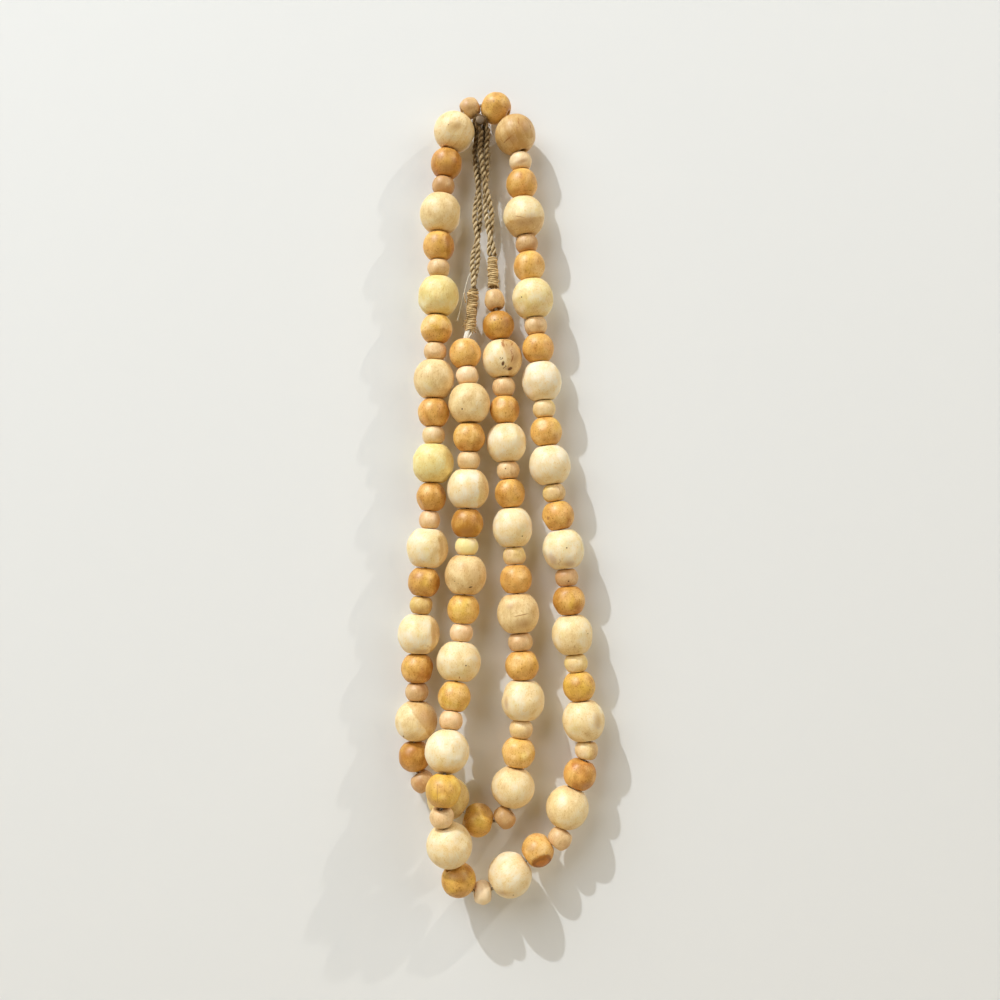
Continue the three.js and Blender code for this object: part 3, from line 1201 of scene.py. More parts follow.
# What is special about each bead, by its number on the cord.
LOOKS = {
    1: Look(depth=-0.13, warmth=0.1),
    2: Look(depth=-0.36, warmth=0.3),
    3: Look(depth=0.1, warmth=-0.1, marks=(speck(-3.1, -4.0, 0.5),)),
    4: Look(depth=-0.05, warmth=0.1, seam=1.0),
    6: Look(depth=-0.14, seam=4.2),
    7: Look(depth=0.44, warmth=-0.1),
    8: Look(depth=-0.49, warmth=-0.9),
    9: Look(depth=0.23, warmth=0.15, marks=(speck(2.6, -5.6, 1.1, 0.5, 12), speck(-5.0, -3.0, 0.3))),
    # Bead 17 is made lighter: painted light, to offset the shade that bead 16 above casts on it.
    10: Look(depth=-0.13, warmth=-0.4),
    11: Look(depth=-0.25, warmth=0.5),
    12: Look(wide=1.05, tall=0.98, marks=(speck(3.8, -0.9, 0.45), streak(0.7, -6.8, 0.4, 0.8))),
    13: Look(depth=-0.08, warmth=-0.35, figure=0.4),
    14: Look(depth=-0.1, warmth=0.7),
    15: Look(depth=-0.1, tall=1.02, slide=0.2),
    16: Look(warmth=-0.8, tall=1.02, marks=(patch(-6.4, 0.0, 2.8, 7.0), streak(-2.4, 0.0, 0.14, 7.0))),
    17: Look(depth=-0.16, warmth=0.2, tall=1.01),
    18: Look(depth=0.04, tall=1.03, flats=((6.0, 4.0, 0.4),)),
    19: Look(
        depth=0.13,
        warmth=-0.4,
        tall=1.03,
        marks=(patch(0.0, 4.0, 6.0, 2.4), streak(-2.0, -6.0, 3.0, 0.2)),
    ),
    20: Look(depth=-0.51, tall=0.94),
    21: Look(
        depth=-0.07,
        warmth=0.2,
        tall=1.01,
        slide=0.1,
        marks=(patch(-3.0, -6.0, 4.0, 2.5), speck(1.5, -7.0, 0.4)),
    ),
    22: Look(
        depth=-0.16,
        warmth=0.25,
        slide=0.35,
        marks=(knot(2.2, -4.8, 5.6, 4.9, 8), patch(-3.0, 3.0, 4.0, 3.0)),
    ),
    23: Look(depth=0.1, warmth=0.3, tall=1.08),
    24: Look(depth=0.08, tall=1.04),
    25: Look(depth=-0.01, warmth=0.35, slide=-0.25, marks=(patch(3.0, -5.0, 4.0, 2.5, -10),), seam=-4.5),
    26: Look(depth=-0.12, warmth=-0.4, tall=0.99, seam=0.4),
    27: Look(depth=0.09, marks=(patch(6.3, 1.3, 2.8, 4.0),)),
    28: Look(depth=0.02, warmth=-0.4, figure=0.4),
    29: Look(depth=-0.12, warmth=-0.6),
    30: Look(depth=0.05, wide=0.98, marks=(speck(6.9, 1.0, 0.3), streak(0.5, -5.0, 0.3, 1.2, 8))),
    31: Look(depth=0.13, warmth=-0.1),
    32: Look(depth=0.31, warmth=0.3, marks=(speck(0.5, -1.7, 0.45),)),
    33: Look(
        depth=-0.1,
        warmth=-0.2,
        marks=(
            speck(1.0, 0.6, 0.42),
            patch(-5.4, -5.0, 3.0, 3.0),
            patch(1.6, -7.0, 4.0, 2.2),
        ),
    ),
    34: Look(depth=0.05, warmth=0.15, marks=(streak(-5.2, -1.4, 1.2, 1.0), streak(-3.4, -5.6, 0.9, 0.6))),
    35: Look(warmth=-0.6, figure=0.6),
    36: Look(depth=-0.13),
    37: Look(depth=-0.03, warmth=-0.1, marks=(patch(4.0, -4.0, 2.6, 2.4),)),
    38: Look(depth=-0.2, warmth=-0.5),
    39: Look(depth=-0.16, wide=0.965),
    40: Look(depth=0.04, warmth=0.15, marks=(patch(1.0, -5.4, 4.5, 1.8),)),
    41: Look(depth=0.1, figure=0.5),
    42: Look(depth=-0.04, warmth=-0.5, marks=(speck(-5.7, -1.3, 0.4),)),
    43: Look(depth=-0.14),
    44: Look(depth=0.34, warmth=0.25),
    45: Look(
        depth=0.06,
        marks=(patch(0.0, -5.0, 8.0, 3.0), streak(-2.4, -3.0, 3.0, 0.2, -14)),
        seam=2.6,
        seam_lean=80.0,
    ),
    46: Look(depth=0.05, warmth=0.05),
    47: Look(depth=-0.25, warmth=-0.1, marks=(patch(1.0, -1.5, 4.5, 1.0, 24),)),
    48: Look(
        depth=0.5,
        warmth=-0.1,
        slide=0.3,
        figure=0.5,
        marks=(
            patch(-1.9, -4.4, 3.4, 4.0),
            patch(4.0, 1.0, 4.0, 5.0),
            streak(5.6, 4.6, 1.9, 0.5, -34),
            streak(7.4, 1.8, 0.4, 1.8, -10),
            streak(-3.6, -5.2, 3.2, 0.45, 28),
            streak(1.4, 2.2, 0.3, 1.5, 8),
        ),
    ),
    49: Look(depth=0.04, slide=0.2, marks=(speck(-1.0, 0.2, 0.3), speck(1.4, 0.3, 0.3))),
    50: Look(depth=0.25, warmth=-0.3, wide=0.93, tall=1.04, slide=-0.3),
    51: Look(depth=0.1, figure=0.5, marks=(patch(1.4, -1.0, 4.6, 2.4, 30), speck(-2.4, -0.6, 0.35))),
    52: Look(depth=0.31, warmth=0.1, marks=(speck(-0.8, 5.4, 0.4), patch(0.0, -4.5, 4.6, 2.2))),
    53: Look(depth=0.52, warmth=0.2),
    54: Look(depth=0.11, warmth=0.05),
    55: Look(depth=0.06, marks=(patch(5.0, 0.0, 2.0, 4.0),), seam=3.6),
    56: Look(depth=0.17),
    57: Look(depth=0.02, warmth=-0.9),
    58: Look(depth=-0.22, seam=1.0, seam_lean=90.0),
    59: Look(depth=0.1, flats=((0.0, 1.0, 0.5),)),
    60: Look(depth=0.15, wide=0.98),
    61: Look(warmth=0.15),
    62: Look(depth=-0.09),
    63: Look(warmth=-1, flats=((9.0, 0.0, 0.5),)),
    64: Look(depth=0.2, warmth=0.05, wide=0.93, flats=((6.0, 3.0, 0.5), (-6.0, -3.0, 0.5))),
    65: Look(depth=-0.1, warmth=0.4, wide=0.92),
    66: Look(depth=-0.05, marks=(patch(8.0, 0.0, 2.0, 5.0),), seam=5.4, flats=((8.6, 1.0, 0.6),)),
    67: Look(depth=0.12, seam=4.4, flats=((6.6, 0.0, 0.5),)),
    68: Look(depth=0.28, warmth=-0.8),
    69: Look(
        depth=-0.12,
        marks=(patch(8.4, -1.0, 2.4, 7.0), patch(2.0, -7.6, 5.0, 2.0)),
        seam=5.6,
        flats=((9.2, 0.6, 0.9),),
    ),
    70: Look(depth=0.15, seam=4.0, flats=((5.6, 1.0, 0.5),)),
    71: Look(depth=0.34, warmth=-0.1, marks=(patch(2.8, 2.0, 2.4, 2.0),)),
    72: Look(
        depth=0.1,
        marks=(patch(4.6, 3.2, 5.0, 6.0), speck(-5.6, -6.6, 0.5, 0.9, -30)),
        seam=1.2,
        seam_lean=-35.0,
    ),
    73: Look(depth=0.3, warmth=0.1, tall=1.01),
    74: Look(depth=0.3, warmth=0.6, tall=1.06),
    75: Look(depth=0.24, warmth=-0.5, tall=1.01),
    # Bead 76 is made lighter: painted light, against the shade that falls on it.
    76: Look(depth=0.01, warmth=-0.35, wide=1.02, flats=((-5.0, 5.2, 1.3), (5.2, 5.0, 1.3))),
    77: Look(depth=0.51, tall=0.97),
    78: Look(depth=-0.01, wide=1.02),
    79: Look(depth=-0.09, wide=1.03),
    80: Look(depth=-0.05, warmth=-0.3),
    81: Look(depth=-0.07, wide=1.03, marks=(patch(-8.2, 0.0, 1.8, 5.0),)),
    82: Look(depth=0.02, warmth=0.15, wide=1.05),
    83: Look(depth=0.16, wide=1.08),
    84: Look(
        depth=0.21,
        figure=0.3,
        marks=(
            streak(1.4, -0.4, 4.6, 0.24, 12),
            patch(2.6, -4.6, 5.4, 3.0),
            patch(-4.0, 3.6, 3.0, 2.0),
        ),
    ),
    85: Look(depth=-0.06, warmth=0.15, marks=(patch(-4.6, 0.0, 2.6, 4.4),)),
    86: Look(warmth=-0.5),
    87: Look(depth=-0.09, wide=0.96, marks=(speck(4.6, -4.4, 0.4),)),
    88: Look(depth=0.04, wide=0.95, flats=((5.4, 3.4, 0.6),)),
    89: Look(depth=-0.1, marks=(speck(-1.4, 0.4, 0.4),), seam=0.6),
    90: Look(depth=-0.09, tall=1.03),
    91: Look(depth=-0.06, warmth=0.15, tall=1.04, marks=(patch(5.4, 0.0, 1.8, 4.0),), seam=4.6),
    92: Look(depth=0.05, warmth=0.2, tall=1.05),
    93: Look(
        depth=0.02,
        warmth=0.15,
        marks=(
            speck(0.3, -3.9, 0.8, 1.3, -12),
            speck(3.6, -6.0, 1.5, 1.0, 30),
            speck(-1.0, -1.2, 0.3),
            streak(0.3, 5.4, 0.8, 2.4, 14),
            streak(1.6, 7.8, 1.8, 0.9, -20),
            streak(4.6, 6.0, 0.6, 2.2, -40),
            streak(4.9, -1.2, 0.5, 2.6, -14),
            patch(3.4, 4.4, 4.4, 5.6),
            patch(6.4, -0.6, 2.8, 6.4),
            patch(2.4, -6.0, 2.6, 1.0),
        ),
        seam=0.4,
        seam_lean=-12.0,
    ),
    94: Look(
        depth=0.27,
        warmth=-0.1,
        marks=(
            speck(-2.0, 1.2, 0.4),
            speck(1.4, 1.6, 0.35),
            patch(5.0, 0.0, 2.2, 6.0),
        ),
    ),
    95: Look(depth=0.27, warmth=-0.15, wide=0.96, tall=1.22, slide=0.5),
}


@dataclass(frozen=True)
class Bead:
    """One bead in its place on the strand. Its centre is in metres."""

    number: int
    kind: Kind
    size: float
    slope: float
    centre: Vector
    axis: Vector

    @property
    def name(self) -> str:
        """The piece's name."""
        return f"bead_{self.number:02d}"

    @property
    def node(self) -> str:
        """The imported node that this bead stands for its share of."""
        return f"bead_repeat_{(self.number - 1) // len(STRINGING) + 1:02d}"

    def directions(self) -> Matrix:
        """Works out which way the bead is turned.

        Returns:
            The bead's own right, front-to-back and bore directions as columns.
        """
        bore = self.axis if self.axis.z > 0.0 else -self.axis
        right = Vector((1.0, 0.0, 0.0)) if abs(bore.x) < 0.9 else Vector((0.0, 0.0, 1.0))
        right = (right - bore * right.dot(bore)).normalized()
        return Matrix((right, bore.cross(right), bore)).transposed()

    def build(self, material: bpy.types.Material) -> bpy.types.Object:
        """Turns the bead and dresses it.

        Args:
            material: Its kind's wood.

        Returns:
            The bead.
        """
        turning = TURNINGS[self.kind]
        look = LOOKS.get(self.number, USUAL)
        draw = random.Random(self.number * BEAD_SEED)
        outline = turning.profile(self.slope) * self.size * np.array((look.wide, look.tall))
        outline = outline * np.array((WEAR.wide_before, WEAR.tall_before))
        angles = TURN * (np.arange(turning.around) + 0.5) / turning.around
        ring = np.stack([np.cos(angles), np.sin(angles)], axis=1)
        local = np.concatenate([np.column_stack([ring * r, np.full(len(ring), z)]) for r, z in outline])
        bore = turning.bore * self.size * look.wide
        local = self._worn(local, look, bore, draw)
        turned = local @ np.array(self.directions()).T
        shell = Shell()
        shell.points = [self.centre + Vector(p) * MM for p in turned]
        shell.add_grid(len(outline), turning.around, 0, wrap_rows=True)
        self._dress(shell, turning, look, local, turned, draw)
        return shell.to_object(self.name, material)

    def _worn(self, local: np.ndarray, look: Look, bore: float, draw: random.Random) -> np.ndarray:
        """Takes a little off the bead here and there, as turning and tumbling leave it.

        Args:
            local: The true bead's points, in its own directions.
            look: The bead's look.
            bore: The radius of its bore.
            draw: Where the chances come from.

        Returns:
            The worn points.
        """
        span = np.linalg.norm(local, axis=1)
        outward = local / span[:, None]
        radius = TURNINGS[self.kind].diameter / 2.0 * self.size * look.wide
        skin = np.clip((np.linalg.norm(local[:, :2], axis=1) - bore) / WEAR.mouth_mm, 0.0, 1.0)
        swells_from = Vector((self.number * 3.7, 0.0, 0.0))
        dents_from = Vector((0.0, self.number * 5.3, 0.0))
        swells = [
            0.6 + 0.5 * noise.noise(Vector(way) * WEAR.swell_fineness + swells_from) for way in outward
        ]
        dents = [max(0.0, noise.noise(Vector(way) * WEAR.dent_fineness + dents_from)) for way in outward]
        hollow = WEAR.swell * np.array(swells) + WEAR.dent * np.array(dents)
        worn = local - outward * (skin * radius * hollow)[:, None]
        for facing, depth in self._facets(look, radius, draw):
            normal = np.array(facing.normalized())
            over = worn @ normal - (radius * WEAR.facet_from - depth)
            give = WEAR.soft_mm * np.logaddexp(0.0, over / WEAR.soft_mm)
            worn = worn - normal * (give * skin)[:, None]
        return worn

    def _facets(self, look: Look, radius: float, draw: random.Random) -> list[tuple[Vector, float]]:
        """Lists the flats that are cut into the bead: its look's own, and a few by chance.

        Args:
            look: The bead's look.
            radius: The bead's radius.
            draw: Where the chances come from.

        Returns:
            Which way each flat faces in the bead's own directions, and its depth in millimetres.
        """
        inward = self.directions().transposed()
        cuts = [(inward @ Vector(on_front(right, up, radius)), depth) for right, up, depth in look.flats]
        for _ in range(draw.randint(WEAR.fewest_facets, WEAR.most_facets)):
            tilt = draw.uniform(-WEAR.facet_tilt, WEAR.facet_tilt)
            angle = draw.uniform(0.0, TURN)
            facing = Vector((math.cos(angle), math.sin(angle), tilt))
            cuts.append((facing, radius * draw.uniform(WEAR.shallow, WEAR.deep)))
        return cuts

    def _dress(
        self,
        shell: Shell,
        turning: Turning,
        look: Look,
        local: np.ndarray,
        turned: np.ndarray,
        draw: random.Random,
    ) -> None:
        """Gives the bead the attributes that its wood reads.

        Args:
            shell: The bead's mesh.
            turning: How its kind is turned.
            look: Its look.
            local: Its points in its own directions.
            turned: The same points in the frame's directions, from its centre.
            draw: Where the chances come from.
        """
        count = len(local)
        lean = Matrix.Rotation(draw.uniform(-TIMBER.lean, TIMBER.lean), 3, "X")
        lean = lean @ Matrix.Rotation(draw.uniform(0.0, TURN), 3, "Z")
        away = draw.uniform(TIMBER.near_pith, TIMBER.far_from_pith)
        aside = draw.uniform(-TIMBER.aside, TIMBER.aside)
        along = draw.uniform(-TIMBER.length, TIMBER.length)
        shell.vectors["log_place"] = list(local @ np.array(lean).T + np.array((away, aside, along)))
        depth = turning.depth + look.depth + draw.uniform(-TIMBER.depth, TIMBER.depth)
        warmth = turning.warmth + look.warmth + draw.uniform(-TIMBER.warmth, TIMBER.warmth)
        shell.vectors["traits"] = [(depth, warmth, look.figure)] * count
        half = turning.height / 2.0 * self.size
        past = np.abs(local[:, 2]) / half - TIMBER.end_grain_from
        ends = np.clip(past / TIMBER.end_grain_over, 0.0, 1.0)
        shell.numbers["end_grain"] = list(ends)
        shell.numbers["seam"] = list(self._seam(look, turned))
        radius = turning.diameter / 2.0 * self.size * look.wide
        for kind in MarkKind:
            nearest = np.full((count, 3), FAR_AWAY)
            for mark in (m for m in look.marks if m.kind is kind):
                spread = mark.spread(turned, radius)
                closer = np.linalg.norm(spread, axis=1) < np.linalg.norm(nearest, axis=1)
                nearest = np.where(closer[:, None], spread, nearest)
            shell.vectors[kind.value] = list(nearest)

    def _seam(self, look: Look, turned: np.ndarray) -> np.ndarray:
        """How far past the line to the darker side each point is, in millimetres; that side is partly
        darker wood and partly painted shade.

        Args:
            look: The bead's look.
            turned: The bead's points in the frame's directions, from its centre.

        Returns:
            The distances, far below 0 where there is no such line.
        """
        if look.seam is None:
            return np.full(len(turned), -FAR_AWAY)
        angle = math.radians(look.seam_lean)
        facing = np.array((math.cos(angle), 0.12, -math.sin(angle)))
        return turned @ facing - look.seam


@dataclass(frozen=True)
class Row:
    """The centre of one numbered bead, in millimetres right of the nail, out from the wall and above it."""

    bead: int
    across: float
    out: float
    up: float


@dataclass
class Strand:
    """The beads on their white cord, numbered from the left whipping, with the route that they follow.

    Each parted ply is given as its place across and its radius, in millimetres.
    """

    left_inner_run: tuple[Row, ...] = (
        Row(1, -7.2, 11.4, -118.2),
        Row(3, -5.1, 13.3, -143.4),
        Row(6, -5.7, 12.4, -185.5),
        Row(9, -6.8, 11.6, -227.6),
        Row(12, -10.0, 13.2, -269.5),
        Row(15, -15.0, 22.4, -310.6),
    )
    outer_turn: tuple[Row, ...] = (
        Row(16, -16.3, 28.6, -327.6),
        Row(17, -17.2, 26.4, -340.2),
        Row(18, -13.8, 21.8, -354.4),
        Row(19, -9.6, 17.0, -371.7),
        Row(20, 1.7, 14.6, -378.4),
        Row(21, 14.7, 13.5, -370.6),
        Row(22, 27.9, 12.0, -359.6),
        Row(23, 38.9, 11.0, -354.0),
    )
    right_outer_run: tuple[Row, ...] = (
        Row(24, 42.6, 10.5, -339.6),
        Row(26, 52.0, 10.5, -312.2),
        Row(27, 50.6, 10.5, -298.1),
        Row(30, 45.4, 10.5, -256.7),
        Row(33, 41.2, 10.5, -215.1),
        Row(36, 34.6, 10.5, -173.6),
        Row(39, 30.7, 10.5, -131.9),
        Row(42, 26.4, 10.5, -90.3),
        Row(45, 22.0, 10.5, -48.7),
        Row(48, 17.9, 10.4, -6.7),
    )
    top_turn: tuple[Row, ...] = (
        Row(49, 8.2, 8.8, 8.0),
        Row(50, -5.4, 8.8, 8.0),
    )
    left_outer_run: tuple[Row, ...] = (
        Row(51, -13.0, 10.4, -4.9),
        Row(54, -19.8, 10.5, -46.9),
        Row(57, -20.8, 10.5, -88.9),
        Row(60, -22.7, 10.3, -130.8),
        Row(63, -23.0, 10.3, -172.7),
        Row(66, -25.6, 10.5, -214.5),
        Row(69, -29.6, 10.5, -256.3),
        Row(72, -30.6, 10.4, -298.2),
    )
    inner_turn: tuple[Row, ...] = (
        Row(73, -31.4, 9.4, -315.3),
        Row(74, -27.5, 9.2, -327.4),
        Row(75, -15.0, 10.4, -335.2),
        Row(76, -0.6, 10.2, -345.6),
        Row(77, 12.3, 10.2, -344.3),
    )
    right_inner_run: tuple[Row, ...] = (
        Row(78, 16.3, 10.5, -329.9),
        Row(81, 21.2, 10.5, -288.3),
        Row(84, 18.9, 10.5, -246.3),
        Row(87, 16.2, 10.5, -204.4),
        Row(90, 13.2, 10.3, -162.5),
        Row(93, 11.2, 10.4, -120.6),
        Row(94, 9.3, 10.4, -103.9),
        Row(95, 7.4, 10.4, -91.4),
    )
    repeat_gap: float = 0.24
    bead_gap: float = 0.2
    stretch_steps: int = 40
    cord: Rope = Rope(radius=0.9, plies=3, pitch=5.0, ply_radius=0.5, sides=5, step=1.0)
    loose_thread: tuple[Vector, ...] = (
        place(-4.6, 10.6, -77.0),
        place(-5.6, 11.6, -79.4),
        place(-7.6, 10.8, -86.0),
        place(-9.6, 9.8, -94.0),
        place(-11.3, 8.8, -101.1),
    )
    loose_thread_radii: tuple[float, float] = (0.17, 0.35)
    parted_plies: tuple[tuple[float, float], ...] = ((-0.9, 0.85), (-0.1, 0.75), (1.9, 0.3))
    odd_sizes: dict[int, float] = field(
        default_factory=lambda: {
            15: 1.03,
            16: 1.06,
            18: 1.05,
            19: 1.04,
            21: 1.03,
            90: 0.96,
            91: 0.93,
            93: 0.96,
            95: 0.94,
        }
    )
    round_shouldered: tuple[int, ...] = (*range(15, 25), *range(48, 52), *range(72, 79), 94, 95)
    tilted: dict[int, Vector] = field(default_factory=lambda: {95: Vector((-0.25, 0.12, 0.96))})

    def rows(self) -> list[Row]:
        """Puts the runs and turns together, from the left whipping to the right.

        Returns:
            Every row of the route in order.
        """
        first_half = (*self.left_inner_run, *self.outer_turn, *self.right_outer_run, *self.top_turn)
        return [*first_half, *self.left_outer_run, *self.inner_turn, *self.right_inner_run]

    def size_of(self, number: int) -> float:
        """How much larger or smaller than its kind a bead was turned."""
        return self.odd_sizes.get(number, 1.0)

    def kind_of(self, number: int) -> Kind:
        """A bead's kind."""
        return STRINGING[(number - 1) % len(STRINGING)]

    def half_height(self, number: int) -> float:
        """Half of a bead's height along its bore, in millimetres."""
        return TURNINGS[self.kind_of(number)].height / 2.0 * self.size_of(number)

    def beads(self) -> list[Bead]:
        """Places every bead. Those between two rows share the stretch by their heights.

        Returns:
            The beads in order.
        """
        rows = self.rows()
        line = SmoothLine([place(row.across, row.out, row.up) for row in rows])
        placed = []
        for index, (row, following) in enumerate(zip(rows, rows[1:])):
            shares = np.linspace(index, index + 1, self.stretch_steps + 1) / (len(rows) - 1)
            track = np.array([line.at(share) for share in shares])
            run = distances(track)
            spacings = [self._spacing(number) for number in range(row.bead, following.bead)]
            reached = np.concatenate([[0.0], np.cumsum(spacings)]) * (run[-1] / sum(spacings))
            for offset, length in enumerate(reached[:-1]):
                placed.append(self._bead(row.bead + offset, line, float(np.interp(length, run, shares))))
        placed.append(self._bead(rows[-1].bead, line, 1.0))
        return placed

    def _spacing(self, number: int) -> float:
        """How far it is from a bead's middle to the next one's, in millimetres."""
        gap = self.bead_gap if number % len(STRINGING) else self.repeat_gap
        return self.half_height(number) + gap + self.half_height(number + 1)

    def _bead(self, number: int, line: SmoothLine, share: float) -> Bead:
        """Places one bead.

        Args:
            number: The bead's number.
            line: The strand's line.
            share: How far along the line it is.

        Returns:
            The bead.
        """
        axis = self.tilted.get(number, line.direction(share)).normalized()
        slope = 1.0 if number in self.round_shouldered else 0.0
        centre = line.at(share) + axis * LOOKS.get(number, USUAL).slide * MM
        return Bead(number, self.kind_of(number), self.size_of(number), slope, centre, axis)

    def build(self, whippings: dict[str, "Whipping"]) -> list[bpy.types.Object]:
        """Builds the beads and their cord.

        Args:
            whippings: The whippings that the cord's two ends go up into.

        Returns:
            The pieces.
        """
        woods = {kind: turning.finish.build() for kind, turning in TURNINGS.items()}
        beads = self.beads()
        pieces = []
        for bead in beads:
            piece = bead.build(woods[bead.kind])
            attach(piece, ROOT)
            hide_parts(bead.node)
            pieces.append(piece)
        pieces.append(self._build_cord(beads, whippings))
        return pieces

    def _build_cord(self, beads: list[Bead], whippings: dict[str, "Whipping"]) -> bpy.types.Object:
        """Lays the white cord through every bore and up into both whippings.

        Args:
            beads: The beads in order.
            whippings: The whippings.

        Returns:
            The cord.
        """
        shell = Shell()
        route = [whippings["left"].inside(), *(bead.centre for bead in beads), whippings["right"].inside()]
        self.cord.lay(shell, SmoothLine(route), seed=5)
        # Painted shade: the whole cord is darkened, more between its plies, for the shade it lies in
        # between the beads.
        shell.numbers["groove"] = [0.45 + 0.55 * depth for depth in shell.numbers["groove"]]
        self._add_parted_ends(shell, beads[0], whippings["left"])
        piece = shell.to_object("white_cord", WHITE_COTTON.build())
        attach(piece, ROOT)
        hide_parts(*sorted({bead.node for bead in beads}))
        return piece

    def _add_parted_ends(self, shell: Shell, bead: Bead, whipping: "Whipping") -> None:
        """Adds the cord's loose plies where they part above the first bead, and its one loose thread.

        Args:
            shell: The cord's mesh.
            bead: The first bead.
            whipping: The whipping above it.
        """
        mouth = bead.centre - bead.axis * self.half_height(bead.number) * 0.8 * MM
        foot = whipping.foot()
        for across, radius in self.parted_plies:
            end = foot + Vector((across, -0.8, 1.5)) * MM
            middle = mouth.lerp(end, 0.5) + Vector((across * 0.3, -0.5, 0.0)) * MM
            track = SmoothLine([mouth, middle, end]).even(0.6 * MM)
            shell.add_tube(track, [radius * MM] * len(track), 8, 0.0, seed=across)
        track = SmoothLine(list(self.loose_thread)).even(0.8 * MM)
        thin, swollen = self.loose_thread_radii
        radii = [(thin + swollen * (i / len(track)) ** 5) * MM for i in range(len(track))]
        shell.add_tube(track, radii, 6, 0.0)


# ---- Loops and whippings ----


@dataclass(frozen=True)
class Section:
    """One level of a hanging loop. Millimetres and degrees.

    The two legs lie half the spread to either side of the middle line and wind about it: turn is 180
    where the first leg is on the left and 90 where it is in front.
    """

    up: float
    across: float
    out: float
    spread: float
    turn: float

    def leg(self, side: int) -> Vector:
        """Finds where one leg passes this level.

        Args:
            side: 1 for the first leg and -1 for the second.

        Returns:
            The place.
        """
        angle = math.radians(self.turn)
        reach = side * self.spread / 2.0
        return place(self.across + reach * math.cos(angle), self.out + reach * math.sin(angle), self.up)

    def toward(self, other: "Section", share: float) -> "Section":
        """Finds a level part of the way to another.

        Args:
            other: The other level.
            share: How much of the way it is.

        Returns:
            The level between them.
        """
        return Section(*(a + (b - a) * share for a, b in zip(astuple(self), astuple(other))))


@dataclass(frozen=True)
class Tail:
    """A loose end of the binding thread: where it starts and how far it strays and rises. Millimetres."""

    across: float
    up: float
    stray: float
    rise: float


@dataclass(frozen=True)
class Crossing:
    """A turn that crosses the others: its level and tilt in millimetres, and how far it stands out."""

    level: float
    tilt: float
    proud: float


